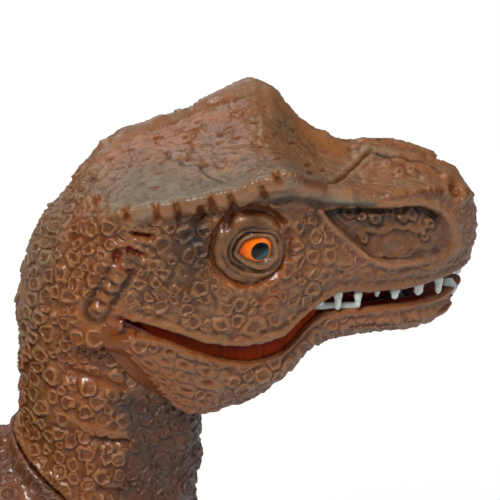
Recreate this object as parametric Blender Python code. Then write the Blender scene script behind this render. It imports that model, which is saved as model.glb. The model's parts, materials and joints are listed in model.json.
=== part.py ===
"""Soft plastic dinosaur figure that stands on two feet, with a hinged lower jaw
and swivel joints at neck, shoulders, hips and tail. Metres, +Z up, nose to +X.
The origin lies under the middle of the figure, on the surface it stands on."""

import math

import bmesh
import bpy
from mathutils import Matrix, Vector

MM = 0.001

# Overall sizes
TORSO_LENGTH = 106 * MM
TORSO_HEIGHT = 65 * MM
TORSO_WIDTH = 56 * MM
NECK_RISE = 53.5 * MM
NECK_DEPTH = 37 * MM
NECK_WIDTH = 28 * MM
HEAD_LENGTH = 80 * MM
TAIL_LENGTH = 147 * MM
TAIL_DROP = 70 * MM
HIP_HEIGHT = 86 * MM
SPINE_ABOVE_HIP = 10 * MM
SPINE_HEIGHT = HIP_HEIGHT + SPINE_ABOVE_HIP
LEG_STANCE = 60 * MM
FOOT_LENGTH = 54 * MM
ARM_LENGTH = 30 * MM

# Walls and clearances
TORSO_WALL = 3.2 * MM
TORSO_SIDE_WALL_SHARE = 0.62
END_WALL = 3.6 * MM
NECK_WALL = 3.6 * MM
TAIL_WALL = 3.4 * MM
FIT_GAP = 0.3 * MM
OVERRUN = 4 * MM

# Facets of round shapes
BODY_SIDES = 24
LIMB_SIDES = 16
TOE_SIDES = 8
TURNED_SIDES = 24
SCREW_SIDES = 12
FACET_TURN = 0.37
EGG_SIDES = 16
EGG_ROWS = 10
CORNER_STEPS = 6

# Colours, as linear red, green, blue
BROWN = (0.23, 0.095, 0.038)
GREY_BROWN = (0.13, 0.085, 0.07)
MOUTH_RED = (0.16, 0.012, 0.008)
TOOTH_WHITE = (0.62, 0.66, 0.62)
EYE_ORANGE = (0.75, 0.17, 0.015)
STEEL_GREY = (0.5, 0.5, 0.52)
PLUG_GREY = (0.05, 0.05, 0.055)

for old in list(bpy.data.objects):
    bpy.data.objects.remove(old, do_unlink=True)


def plastic(name, colour, roughness, metallic=0.0):
    made = bpy.data.materials.new(name)
    made.use_nodes = True
    shader = made.node_tree.nodes["Principled BSDF"]
    shader.inputs["Base Color"].default_value = (*colour, 1.0)
    shader.inputs["Roughness"].default_value = roughness
    shader.inputs["Metallic"].default_value = metallic
    return made


SKIN = plastic("skin_brown", BROWN, 0.42)
BODY_SKIN = plastic("skin_grey_brown", GREY_BROWN, 0.45)
MOUTH = plastic("mouth_red", MOUTH_RED, 0.35)
TOOTH = plastic("tooth_white", TOOTH_WHITE, 0.3)
EYE = plastic("eye_orange", EYE_ORANGE, 0.15)
STEEL = plastic("screw_steel", STEEL_GREY, 0.3, 1.0)
PLUG = plastic("plug_grey", PLUG_GREY, 0.5)


# Shape helpers
def spread(rows, steps):
    """Rows of numbers, run through by a smooth curve with steps per span."""
    out = []
    last = len(rows) - 1
    for span in range(last):
        before = rows[max(span - 1, 0)]
        start = rows[span]
        end = rows[span + 1]
        after = rows[min(span + 2, last)]
        for step in range(steps):
            t = step / steps
            row = []
            for a, b, c, d in zip(before, start, end, after):
                bend = (2 * a - 5 * b + 4 * c - d) * t * t
                turn = (3 * b - a - 3 * c + d) * t * t * t
                row.append(0.5 * (2 * b + (c - a) * t + bend + turn))
            out.append(tuple(row))
    out.append(tuple(rows[last]))
    return out


def oval(centre, angle, half_up, half_wide, sides, power=2.0):
    """Ring round a spine that runs at an angle above the X axis."""
    up = Vector((-math.sin(angle), 0, math.cos(angle)))
    side = Vector((0, 1, 0))
    points = []
    for index in range(sides):
        turn = 2 * math.pi * index / sides
        rise = math.copysign(abs(math.cos(turn)) ** (2 / power), math.cos(turn))
        reach = math.copysign(abs(math.sin(turn)) ** (2 / power), math.sin(turn))
        points.append(centre + up * (half_up * rise) + side * (half_wide * reach))
    return points


def body_of(name, rings, pivot, paint, smooth_deg=50):
    """Closed body through rings of points, with flat ends."""
    mesh = bpy.data.meshes.new(name)
    work = bmesh.new()
    loops = [[work.verts.new(point - pivot) for point in ring] for ring in rings]
    for near, far in zip(loops, loops[1:]):
        count = len(near)
        for index in range(count):
            after = (index + 1) % count
            work.faces.new((near[index], near[after], far[after], far[index]))
    work.faces.new(list(reversed(loops[0])))
    work.faces.new(loops[-1])
    bmesh.ops.recalc_face_normals(work, faces=work.faces)
    if work.calc_volume(signed=True) < 0:
        bmesh.ops.reverse_faces(work, faces=work.faces)
    bmesh.ops.triangulate(work, faces=work.faces)
    work.to_mesh(mesh)
    work.free()
    return solid(name, mesh, pivot, paint, smooth_deg)


def solid(name, mesh, pivot, paint, smooth_deg=50):
    mesh.shade_smooth()
    mesh.set_sharp_from_angle(angle=math.radians(smooth_deg))
    made = bpy.data.objects.new(name, mesh)
    made.location = pivot
    bpy.context.collection.objects.link(made)
    if paint is not None:
        mesh.materials.append(paint)
    return made


def drum(name, middle, axis, radius, length, pivot, paint=None, sides=TURNED_SIDES):
    """Cylinder centred on middle, along axis."""
    return turned(name, middle - axis * (length / 2), axis,
                  [(0, radius), (length, radius)], pivot, paint, sides)


def turned(name, foot, axis, profile, pivot, paint=None, sides=TURNED_SIDES):
    """Turned piece: profile holds (distance along axis, radius) pairs."""
    turn = Vector((0, 0, 1)).rotation_difference(axis).to_matrix()
    rings = []
    for along, radius in profile:
        ring = []
        for index in range(sides):
            angle = 2 * math.pi * (index + FACET_TURN) / sides
            spoke = Vector((math.cos(angle) * radius, math.sin(angle) * radius, along))
            ring.append(foot + turn @ spoke)
        rings.append(ring)
    return body_of(name, rings, pivot, paint)


def egg(name, centre, halves, tilt, pivot, paint=None):
    """Ellipsoid with half sizes along X, Y, Z, tilted nose-up by tilt."""
    mesh = bpy.data.meshes.new(name)
    work = bmesh.new()
    bmesh.ops.create_uvsphere(work, u_segments=EGG_SIDES, v_segments=EGG_ROWS, radius=1)
    size = Matrix.Diagonal((*halves, 1))
    place = Matrix.Translation(centre - pivot) @ Matrix.Rotation(-tilt, 4, "Y") @ size
    bmesh.ops.transform(work, matrix=place, verts=work.verts)
    work.to_mesh(mesh)
    work.free()
    return solid(name, mesh, pivot, paint)


def slab(name, outline, low_y, high_y, pivot, paint=None):
    """Plate with an outline of (x, z) points, between two values of Y."""
    rings = [[Vector((x, y, z)) for x, z in outline] for y in (low_y, high_y)]
    return body_of(name, rings, pivot, paint, smooth_deg=35)


def combine(target, tool, operation="DIFFERENCE"):
    """Keep tool as a hidden cutter, or a hidden piece, of target."""
    tool.hide_render = True
    tool.display_type = "WIRE"
    change = target.modifiers.new(tool.name, "BOOLEAN")
    change.operation = operation
    change.solver = "EXACT"
    change.object = tool


def hang(parent, *children):
    """Parent pieces that were placed in the figure's own frame."""
    spot = parent["spot"]
    for child in children:
        child.parent = parent
        child.location = child.location - Vector(spot)


def axis_empty(name, spot, parent=None):
    made = bpy.data.objects.new(name, None)
    made["spot"] = tuple(spot)
    made.location = spot
    bpy.context.collection.objects.link(made)
    if parent is not None:
        made.parent = parent
        made.location = Vector(spot) - Vector(parent["spot"])
    return made


def fan(hub, reach, radius, high, low):
    """Outline of a plate with round corners that spreads from hub between two
    headings, as (x, z) points. With equal headings it is a plain round-ended bar."""
    middle = (high + low) / 2
    quarter = math.pi / 2
    arcs = [
        (low, low - quarter, middle, reach),
        (high, middle, high + quarter, reach),
        (high, high + quarter, low + 3 * quarter, 0.0),
    ]
    points = []
    for heading, first, last, out in arcs:
        centre_x = hub[0] + out * math.cos(heading)
        centre_z = hub[1] + out * math.sin(heading)
        for step in range(CORNER_STEPS + 1):
            if points and step == 0 and high == low:
                continue
            angle = first + (last - first) * step / CORNER_STEPS
            points.append((centre_x + radius * math.cos(angle),
                           centre_z + radius * math.sin(angle)))
    return points


# Torso: two half shells, loft from the tail seam to the neck seam.
# Rows: along, height over the spine in torso heights, angle, half height,
# half width.
TORSO_ROW_SHARES = [
    (0.00, 0.0000, 15, 0.370, 0.350),
    (0.13, 0.0118, 10, 0.430, 0.410),
    (0.30, 0.0000, 5, 0.477, 0.470),
    (0.47, -0.0330, 3, 0.500, 0.500),
    (0.64, -0.0870, 6, 0.462, 0.490),
    (0.79, -0.1230, 13, 0.398, 0.440),
    (0.916, -0.0815, 29, 0.360, 0.385),
    (1.00, 0.0074, 50, 0.382, 0.335),
]
TORSO_POWER = 2.15

# Figure frame: X = 0 at the tail seam. All pieces hang from one empty that
# moves the middle of the figure to the origin.
NECK_AXIS_AHEAD = 1.8 * MM
HEAD_DATUM_AHEAD = 29 * MM
NOSE_AHEAD = 46 * MM
NECK_SEAM_RISE = TORSO_ROW_SHARES[-1][1] * TORSO_HEIGHT
NECK_SEAM = Vector((TORSO_LENGTH, 0, SPINE_HEIGHT + NECK_SEAM_RISE))
NECK_ANGLE = math.radians(50)
NECK_WAY = Vector((math.cos(NECK_ANGLE), 0, math.sin(NECK_ANGLE)))
TAIL_SEAM = Vector((0, 0, SPINE_HEIGHT))
TAIL_ANGLE = math.radians(15)
TAIL_WAY = Vector((-math.cos(TAIL_ANGLE), 0, -math.sin(TAIL_ANGLE)))
HEAD_DATUM = Vector((TORSO_LENGTH + NECK_AXIS_AHEAD + HEAD_DATUM_AHEAD, 0, NECK_SEAM.z + NECK_RISE))
MIDDLE_X = (HEAD_DATUM.x + NOSE_AHEAD - TAIL_LENGTH) / 2

figure = axis_empty("figure", Vector((0, 0, 0)))
figure.location.x = -MIDDLE_X
neck_turn = axis_empty("neck_turn", NECK_SEAM, figure)
tail_turn = axis_empty("tail_turn", TAIL_SEAM, figure)


def torso_ring(row, wall_up=0.0, wide_share=1.0, sides=BODY_SIDES):
    along, height, degrees, half_up, half_wide = row
    centre = Vector((along * TORSO_LENGTH, 0, SPINE_HEIGHT + height * TORSO_HEIGHT))
    return oval(centre, math.radians(degrees), half_up * TORSO_HEIGHT - wall_up,
                half_wide * TORSO_WIDTH * wide_share, sides, TORSO_POWER)


torso_rows = spread(TORSO_ROW_SHARES, 2)
torso_rings = [torso_ring(row) for row in torso_rows]

first_row = TORSO_ROW_SHARES[0]
last_row = TORSO_ROW_SHARES[-1]
tail_end = [point - TAIL_WAY * END_WALL
            for point in torso_ring(first_row, TORSO_WALL * 2, TORSO_SIDE_WALL_SHARE, LIMB_SIDES)]
neck_end = [point - NECK_WAY * END_WALL
            for point in torso_ring(last_row, TORSO_WALL * 2, TORSO_SIDE_WALL_SHARE, LIMB_SIDES)]
hollow_rings = [torso_ring(row, TORSO_WALL, TORSO_SIDE_WALL_SHARE, LIMB_SIDES)
                for row in TORSO_ROW_SHARES[1:-1]]
torso_hollow = body_of("torso_hollow", [tail_end] + hollow_rings + [neck_end], TAIL_SEAM, None)
hang(figure, torso_hollow)

# Neck spool: two flanges on a stem, turning in the end wall of the torso
SPOOL_STEM_R = 6 * MM
SPOOL_FLANGE_R = 8.6 * MM
SPOOL_FLANGE_T = 2.4 * MM
RUN_GAP = 0.25 * MM
SEAM_GAP = 0.4 * MM


def spool(name, seam, way, wall_after, pivot, paint, stem_r, flange_r):
    """Two flanges on a stem through the end walls on both sides of a seam."""
    inner = END_WALL + FIT_GAP
    outer = SEAM_GAP + wall_after + FIT_GAP
    profile = [
        (0, flange_r), (SPOOL_FLANGE_T, flange_r), (SPOOL_FLANGE_T, stem_r),
        (SPOOL_FLANGE_T + inner + outer, stem_r), (SPOOL_FLANGE_T + inner + outer, flange_r),
        (SPOOL_FLANGE_T * 2 + inner + outer, flange_r),
    ]
    return turned(name, seam - way * (inner + SPOOL_FLANGE_T), way, profile, pivot, paint)


neck_spool = spool("neck_spool", NECK_SEAM, NECK_WAY, NECK_WALL, NECK_SEAM, PLUG,
                   SPOOL_STEM_R, SPOOL_FLANGE_R)
tail_spool = spool("tail_spool", TAIL_SEAM, TAIL_WAY, TAIL_WALL, TAIL_SEAM, PLUG,
                   SPOOL_STEM_R, SPOOL_FLANGE_R)
neck_bore = drum("neck_bore", NECK_SEAM, NECK_WAY, SPOOL_STEM_R + RUN_GAP,
                 (END_WALL + NECK_WALL + OVERRUN) * 2, NECK_SEAM)
tail_bore = drum("tail_bore", TAIL_SEAM, TAIL_WAY, SPOOL_STEM_R + RUN_GAP,
                 (END_WALL + TAIL_WALL + OVERRUN) * 2, TAIL_SEAM)
hang(neck_turn, neck_spool, neck_bore)
hang(tail_turn, tail_spool, tail_bore)

# Shoulder and hip sockets: a round pocket outside, a bore and a flat seat inside
HIP_AHEAD = 47 * MM
HIP_POCKET_Y = 21 * MM
HIP_POCKET_R = 24 * MM
HIP_SEAT_Y = 17.4 * MM
HIP_STEM_R = 5 * MM
HIP_FLANGE_R = 8 * MM
HIP_STEM_DEPTH = 10 * MM
SHOULDER_AHEAD = 100 * MM
SHOULDER_DROP = 16 * MM
SHOULDER_POCKET_Y = 17 * MM
SHOULDER_POCKET_R = 9.4 * MM
SHOULDER_SEAT_Y = 13.6 * MM
SHOULDER_STEM_R = 2.6 * MM
SHOULDER_FLANGE_R = 4.6 * MM
SHOULDER_STEM_DEPTH = 4.5 * MM
PLUG_FLANGE_T = 2.2 * MM
SOCKET_GAP = 0.6 * MM

HIP = Vector((HIP_AHEAD, 0, HIP_HEIGHT))
SHOULDER = Vector((SHOULDER_AHEAD, 0, SPINE_HEIGHT - SHOULDER_DROP))
SIDES = (("right", -1), ("left", 1))


def limb_socket(limb, spot, side, sign, pocket_y, pocket_r, seat_y, stem_r, flange_r):
    """Stepped cutter for one limb's socket: flat seat inside, bore, pocket outside."""
    profile = [
        (0, flange_r + SOCKET_GAP), (seat_y + FIT_GAP - OVERRUN, flange_r + SOCKET_GAP),
        (seat_y + FIT_GAP - OVERRUN, stem_r + RUN_GAP), (pocket_y - OVERRUN, stem_r + RUN_GAP),
        (pocket_y - OVERRUN, pocket_r), (TORSO_WIDTH - OVERRUN, pocket_r),
    ]
    out = Vector((0, sign, 0))
    socket = turned(f"{limb}_socket_{side}", spot + out * OVERRUN, out, profile, spot,
                    sides=BODY_SIDES)
    hang(figure, socket)
    return socket


# Screws: through bosses that cross the hollow from the left half to the right.
# Spots: along, height over the spine in torso heights.
SCREW_SPOT_SHARES = [(0.17, 0.192), (0.17, -0.192), (0.66, 0.148), (0.75, -0.295)]
SCREW_SHANK_R = 1.3 * MM
SCREW_HEAD_R = 2.5 * MM
SCREW_HEAD_T = 1.6 * MM
SCREW_GRIP = 7 * MM
SCREW_BITE = 9 * MM
BOSS_R = 3.8 * MM
BOSS_REACH_SHARE = 0.33
SCREW_GAP = 0.3 * MM

LEFT = Vector((0, 1, 0))
screw_spots = [Vector((along * TORSO_LENGTH, 0, SPINE_HEIGHT + height * TORSO_HEIGHT))
               for along, height in SCREW_SPOT_SHARES]
for number, spot in enumerate(screw_spots, 1):
    screw = turned(f"torso_screw_{number}", spot - LEFT * SCREW_BITE, LEFT,
                   [(0, SCREW_SHANK_R), (SCREW_BITE + SCREW_GRIP, SCREW_SHANK_R),
                    (SCREW_BITE + SCREW_GRIP, SCREW_HEAD_R),
                    (SCREW_BITE + SCREW_GRIP + SCREW_HEAD_T, SCREW_HEAD_R)],
                   spot, STEEL, sides=SCREW_SIDES)
    hang(figure, screw)

for side, sign in SIDES:
    half = body_of(f"torso_{side}_half", torso_rings, TAIL_SEAM, BODY_SKIN)
    reach = TORSO_LENGTH + TORSO_HEIGHT
    outline = [(-reach, -reach), (reach * 2, -reach), (reach * 2, reach * 2), (-reach, reach * 2)]
    near, far = sorted((-sign * reach, sign * FIT_GAP / 2))
    other = slab(f"other_side_{side}", outline, near, far, TAIL_SEAM)
    hang(figure, half, other)
    combine(half, torso_hollow)
    combine(half, other)
    for number, spot in enumerate(screw_spots, 1):
        boss_end = TORSO_WIDTH * BOSS_REACH_SHARE
        boss_middle = spot + LEFT * sign * (FIT_GAP / 2 + boss_end) / 2
        boss = drum(f"boss_{number}_{side}", boss_middle, LEFT,
                    BOSS_R, boss_end - FIT_GAP / 2, spot, sides=SCREW_SIDES)
        bite = SCREW_BITE + SCREW_GAP
        if sign < 0:
            profile = [(0, SCREW_SHANK_R + SCREW_GAP), (bite * 2, SCREW_SHANK_R + SCREW_GAP)]
        else:
            profile = [(0, SCREW_SHANK_R + SCREW_GAP),
                       (bite + SCREW_GRIP, SCREW_SHANK_R + SCREW_GAP),
                       (bite + SCREW_GRIP, SCREW_HEAD_R + SCREW_GAP),
                       (bite + TORSO_WIDTH, SCREW_HEAD_R + SCREW_GAP)]
        hole = turned(f"screw_hole_{number}_{side}", spot - LEFT * bite, LEFT, profile, spot,
                      sides=SCREW_SIDES)
        hang(figure, boss, hole)
        combine(half, boss, "UNION")
        combine(half, hole)
    combine(half, neck_bore)
    combine(half, tail_bore)
    combine(half, limb_socket("hip", HIP, side, sign, HIP_POCKET_Y, HIP_POCKET_R,
                              HIP_SEAT_Y, HIP_STEM_R, HIP_FLANGE_R))
    combine(half, limb_socket("shoulder", SHOULDER, side, sign, SHOULDER_POCKET_Y,
                              SHOULDER_POCKET_R, SHOULDER_SEAT_Y, SHOULDER_STEM_R,
                              SHOULDER_FLANGE_R))


# Limb plugs: flange inside the torso, stem in the limb
def limb_plug(name, spot, sign, seat_y, pocket_y, stem_r, flange_r, stem_depth, pivot):
    out = Vector((0, sign, 0))
    profile = [
        (0, flange_r), (PLUG_FLANGE_T, flange_r), (PLUG_FLANGE_T, stem_r),
        (PLUG_FLANGE_T + pocket_y - seat_y + stem_depth, stem_r),
    ]
    return turned(name, spot + out * (seat_y - PLUG_FLANGE_T), out, profile, pivot, PLUG)


# Leg: spine points ahead of the hip and below it, in shares of hip height.
# Rows: ahead, height, angle, half thickness, half width, out.
LEG_ROW_SHARES = [
    (-0.03, 1.19, -80, 0.10, 0.090, 0.42),
    (-0.01, 1.09, -78, 0.18, 0.118, 0.47),
    (0.02, 0.98, -70, 0.225, 0.135, 0.49),
    (0.08, 0.84, -62, 0.195, 0.125, 0.50),
    (0.16, 0.70, -75, 0.155, 0.105, 0.52),
    (0.165, 0.57, -115, 0.128, 0.094, 0.51),
    (0.07, 0.45, -132, 0.102, 0.085, 0.50),
    (-0.02, 0.35, -120, 0.085, 0.075, 0.50),
    (-0.04, 0.24, -80, 0.078, 0.075, 0.50),
    (0.01, 0.13, -62, 0.088, 0.092, 0.50),
    (0.05, -0.02, -80, 0.094, 0.104, 0.50),
]
TOE_SHARES = [("inner", -16, 0.86), ("middle", 0, 1.0), ("outer", 17, 0.88)]
# Toe rows: along, height over the floor, half height, half width
TOE_ROW_SHARES = [
    (0.06, 0.080, 0.102, 0.112),
    (0.28, 0.082, 0.114, 0.106),
    (0.48, 0.060, 0.090, 0.090),
    (0.66, 0.058, 0.092, 0.094),
    (0.80, 0.046, 0.074, 0.074),
    (0.86, 0.050, 0.050, 0.046),
    (0.94, 0.045, 0.036, 0.032),
    (1.00, 0.028, 0.012, 0.010),
]
HIP_HUB_R = 23.2 * MM
LEG_FLAT_SHARE = 1.45
HIP_HUB_DEPTH = 10 * MM
HUB_BEVEL = 1.2 * MM
HUB_ROUND = 2.4 * MM
LEG_POWER = 2.2
SPUR_SHARE = 0.30
SPUR_HEADING = math.radians(164)

ankle_x = HIP_AHEAD + LEG_ROW_SHARES[-1][0] * HIP_HEIGHT


def toe_rings(root, heading, length, sign):
    way = Vector((math.cos(heading), math.sin(heading) * sign, 0))
    across = Vector((-way.y, way.x, 0))
    rings = []
    for along, height, half_up, half_wide in TOE_ROW_SHARES:
        centre = root + way * (along * length) + Vector((0, 0, height * FOOT_LENGTH))
        ring = []
        for index in range(TOE_SIDES):
            turn = 2 * math.pi * index / TOE_SIDES
            ring.append(centre + Vector((0, 0, math.cos(turn) * half_up * FOOT_LENGTH))
                        + across * (math.sin(turn) * half_wide * FOOT_LENGTH))
        rings.append(ring)
    return rings


for side, sign in SIDES:
    out = Vector((0, sign, 0))
    hip_turn = axis_empty(f"hip_turn_{side}", HIP + out * HIP_POCKET_Y, figure)
    rings = []
    for ahead, height, degrees, thick, wide, outward in spread(LEG_ROW_SHARES, 2):
        centre = Vector((HIP_AHEAD + ahead * HIP_HEIGHT, sign * outward * LEG_STANCE,
                         height * HIP_HEIGHT))
        rings.append(oval(centre, math.radians(degrees), thick * HIP_HEIGHT,
                          wide * HIP_HEIGHT, LIMB_SIDES, LEG_POWER))
    leg = body_of(f"leg_{side}", rings, HIP, BODY_SKIN)
    hub = turned(f"hip_hub_{side}", HIP + out * (HIP_POCKET_Y + SEAM_GAP), out,
                 [(0, HIP_HUB_R - HUB_BEVEL), (HUB_BEVEL, HIP_HUB_R),
                  (HIP_HUB_DEPTH - HUB_ROUND, HIP_HUB_R), (HIP_HUB_DEPTH, HIP_HUB_R - HUB_ROUND)],
                 HIP, BODY_SKIN, BODY_SIDES)
    hang(figure, leg, hub)
    combine(leg, hub, "UNION")
    root = Vector((ankle_x, sign * LEG_STANCE / 2, 0))
    for toe, degrees, share in TOE_SHARES:
        toe_form = toe_rings(root, math.radians(degrees), FOOT_LENGTH * share, sign)
        claw = body_of(f"toe_{toe}_{side}", toe_form, root, BODY_SKIN)
        hang(figure, claw)
        combine(leg, claw, "UNION")
    spur_form = toe_rings(root, SPUR_HEADING, FOOT_LENGTH * SPUR_SHARE, sign)
    spur = body_of(f"spur_{side}", spur_form, root, BODY_SKIN)
    flat_y = HIP_POCKET_Y + SEAM_GAP
    inside = drum(f"torso_side_{side}", HIP + out * (flat_y - TORSO_WIDTH) / 2, out,
                  HIP_POCKET_R * LEG_FLAT_SHARE, flat_y + TORSO_WIDTH, HIP, sides=BODY_SIDES)
    ground = [(-TAIL_LENGTH, -TAIL_LENGTH), (HEAD_DATUM.x * 2, -TAIL_LENGTH),
              (HEAD_DATUM.x * 2, 0), (-TAIL_LENGTH, 0)]
    floor = slab(f"floor_{side}", ground, -TORSO_LENGTH, TORSO_LENGTH, HIP)
    bore_depth = HIP_STEM_DEPTH + FIT_GAP
    bore = drum(f"leg_bore_{side}", HIP + out * (HIP_POCKET_Y + bore_depth / 2), out,
                HIP_STEM_R + FIT_GAP, bore_depth, HIP)
    hang(figure, spur, inside, floor, bore)
    combine(leg, spur, "UNION")
    combine(leg, inside)
    combine(leg, floor)
    combine(leg, bore)
    plug = limb_plug(f"leg_plug_{side}", HIP, sign, HIP_SEAT_Y, HIP_POCKET_Y, HIP_STEM_R,
                     HIP_FLANGE_R, HIP_STEM_DEPTH, HIP)
    hang(figure, plug)
    for piece in (leg, plug):
        piece.parent = hip_turn
        piece.location = HIP - Vector(hip_turn["spot"])

# Arm rows: ahead, down, angle, half thickness, half width, out, in arm lengths
ARM_ROW_SHARES = [
    (0.00, -0.20, -95, 0.14, 0.10, 0.86),
    (-0.02, -0.08, -95, 0.24, 0.13, 0.86),
    (-0.05, 0.20, -98, 0.24, 0.13, 0.87),
    (-0.08, 0.45, -85, 0.19, 0.12, 0.87),
    (0.04, 0.66, -35, 0.155, 0.115, 0.86),
    (0.30, 0.76, -18, 0.135, 0.105, 0.84),
    (0.55, 0.84, -18, 0.105, 0.090, 0.82),
    (0.68, 0.88, -18, 0.115, 0.110, 0.81),
    (0.82, 0.93, -20, 0.085, 0.100, 0.80),
]
CLAW_SHARES = [("upper", 0.06, 0.035), ("lower", -0.07, -0.035)]
SHOULDER_HUB_R = 8.8 * MM
SHOULDER_HUB_DEPTH = 5.5 * MM
CLAW_LENGTH = 9 * MM
CLAW_R = 1.9 * MM
CLAW_TIP_R = 0.5 * MM
CLAW_DROP_SHARE = 0.45
CLAW_BEND_SHARES = (0.6, 0.8)
ARM_TUCK = 3.6 * MM

for side, sign in SIDES:
    out = Vector((0, sign, 0))
    shoulder_turn = axis_empty(f"shoulder_turn_{side}", SHOULDER + out * SHOULDER_POCKET_Y, figure)
    rings = []
    for ahead, down, degrees, thick, wide, outward in spread(ARM_ROW_SHARES, 2):
        centre = SHOULDER + Vector((ahead * ARM_LENGTH, 0, -down * ARM_LENGTH))
        centre = centre + out * (outward * ARM_LENGTH - ARM_TUCK)
        rings.append(oval(centre, math.radians(degrees), thick * ARM_LENGTH,
                          wide * ARM_LENGTH, TOE_SIDES))
    arm = body_of(f"arm_{side}", rings, SHOULDER, BODY_SKIN)
    hub = turned(f"arm_hub_{side}", SHOULDER + out * (SHOULDER_POCKET_Y + SEAM_GAP), out,
                 [(0, SHOULDER_HUB_R), (SHOULDER_HUB_DEPTH - HUB_ROUND, SHOULDER_HUB_R),
                  (SHOULDER_HUB_DEPTH, SHOULDER_HUB_R - HUB_ROUND)],
                 SHOULDER, BODY_SKIN, LIMB_SIDES)
    hang(figure, arm, hub)
    combine(arm, hub, "UNION")
    wrist = ARM_ROW_SHARES[-2]
    hand = SHOULDER + Vector((wrist[0] * ARM_LENGTH, 0, -wrist[1] * ARM_LENGTH))
    hand = hand + out * (wrist[5] * ARM_LENGTH - ARM_TUCK)
    for claw_name, rise, aside in CLAW_SHARES:
        foot = hand + Vector((0, 0, rise * ARM_LENGTH)) + out * (aside * ARM_LENGTH)
        way = Vector((1, 0, rise - CLAW_DROP_SHARE)).normalized()
        bend_at, bend_r = CLAW_BEND_SHARES
        profile = [(0, CLAW_R), (CLAW_LENGTH * bend_at, CLAW_R * bend_r), (CLAW_LENGTH, CLAW_TIP_R)]
        claw = turned(f"claw_{claw_name}_{side}", foot, way, profile, foot, BODY_SKIN, TOE_SIDES)
        hang(figure, claw)
        combine(arm, claw, "UNION")
    flat_y = SHOULDER_POCKET_Y + SEAM_GAP
    inside = drum(f"chest_side_{side}", SHOULDER + out * (flat_y - TORSO_WIDTH) / 2, out,
                  TORSO_LENGTH, flat_y + TORSO_WIDTH, SHOULDER, sides=TOE_SIDES)
    bore_depth = SHOULDER_STEM_DEPTH + FIT_GAP
    bore = drum(f"arm_bore_{side}", SHOULDER + out * (SHOULDER_POCKET_Y + bore_depth / 2), out,
                SHOULDER_STEM_R + FIT_GAP, bore_depth, SHOULDER)
    hang(figure, inside, bore)
    combine(arm, inside)
    combine(arm, bore)
    plug = limb_plug(f"arm_plug_{side}", SHOULDER, sign, SHOULDER_SEAT_Y, SHOULDER_POCKET_Y,
                     SHOULDER_STEM_R, SHOULDER_FLANGE_R, SHOULDER_STEM_DEPTH, SHOULDER)
    hang(figure, plug)
    for piece in (arm, plug):
        piece.parent = shoulder_turn
        piece.location = SHOULDER - Vector(shoulder_turn["spot"])

# Tail rows: back, drop, angle, half height, half width
TAIL_ROW_SHARES = [
    (0.00, 0.00, 15, 0.370, 0.350),
    (0.18, 0.10, 20, 0.275, 0.262),
    (0.39, 0.28, 27, 0.196, 0.190),
    (0.60, 0.52, 29, 0.137, 0.136),
    (0.80, 0.77, 26, 0.090, 0.092),
    (0.94, 0.95, 17, 0.052, 0.056),
    (1.00, 1.00, 5, 0.022, 0.024),
]
TAIL_HOLLOW_ROWS = 3
TAIL_SIDES = 22


def tail_ring(row, wall=0.0, sides=BODY_SIDES):
    back, drop, degrees, half_up, half_wide = row
    centre = Vector((-back * TAIL_LENGTH, 0, SPINE_HEIGHT - drop * TAIL_DROP))
    return oval(centre, math.radians(degrees), half_up * TORSO_HEIGHT - wall,
                half_wide * TORSO_WIDTH - wall, sides, TORSO_POWER)


tail_rings = [tail_ring(row, sides=TAIL_SIDES) for row in spread(TAIL_ROW_SHARES, 2)]
tail_rings[0] = [point + TAIL_WAY * SEAM_GAP for point in tail_rings[0]]
tail = body_of("tail", tail_rings, TAIL_SEAM, BODY_SKIN)
hollow = [tail_ring(row, TAIL_WALL, LIMB_SIDES) for row in TAIL_ROW_SHARES[:TAIL_HOLLOW_ROWS]]
hollow[0] = [point + TAIL_WAY * (SEAM_GAP + TAIL_WALL) for point in hollow[0]]
tail_hollow = body_of("tail_hollow", hollow, TAIL_SEAM, None)
hang(tail_turn, tail, tail_hollow)
combine(tail, tail_hollow)
combine(tail, tail_bore)

# Neck rows: ahead of the neck's axis in neck depths, rise, angle,
# half depth, half width
NECK_ROW_SHARES = [
    (-0.049, 0.000, 50, 0.672, 0.670),
    (-0.020, 0.130, 60, 0.560, 0.595),
    (0.000, 0.310, 76, 0.512, 0.535),
    (0.000, 0.530, 86, 0.495, 0.507),
    (0.000, 0.760, 87, 0.487, 0.500),
    (0.013, 0.910, 77, 0.476, 0.493),
    (0.081, 1.037, 58, 0.462, 0.440),
    (0.190, 1.131, 40, 0.320, 0.380),
]


def neck_ring(row, wall=0.0, sides=BODY_SIDES):
    ahead, rise, degrees, half_deep, half_wide = row
    centre = Vector((TORSO_LENGTH + NECK_AXIS_AHEAD + ahead * NECK_DEPTH, 0,
                     NECK_SEAM.z + rise * NECK_RISE))
    return oval(centre, math.radians(degrees), half_deep * NECK_DEPTH - wall,
                half_wide * NECK_WIDTH - wall, sides)


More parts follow.
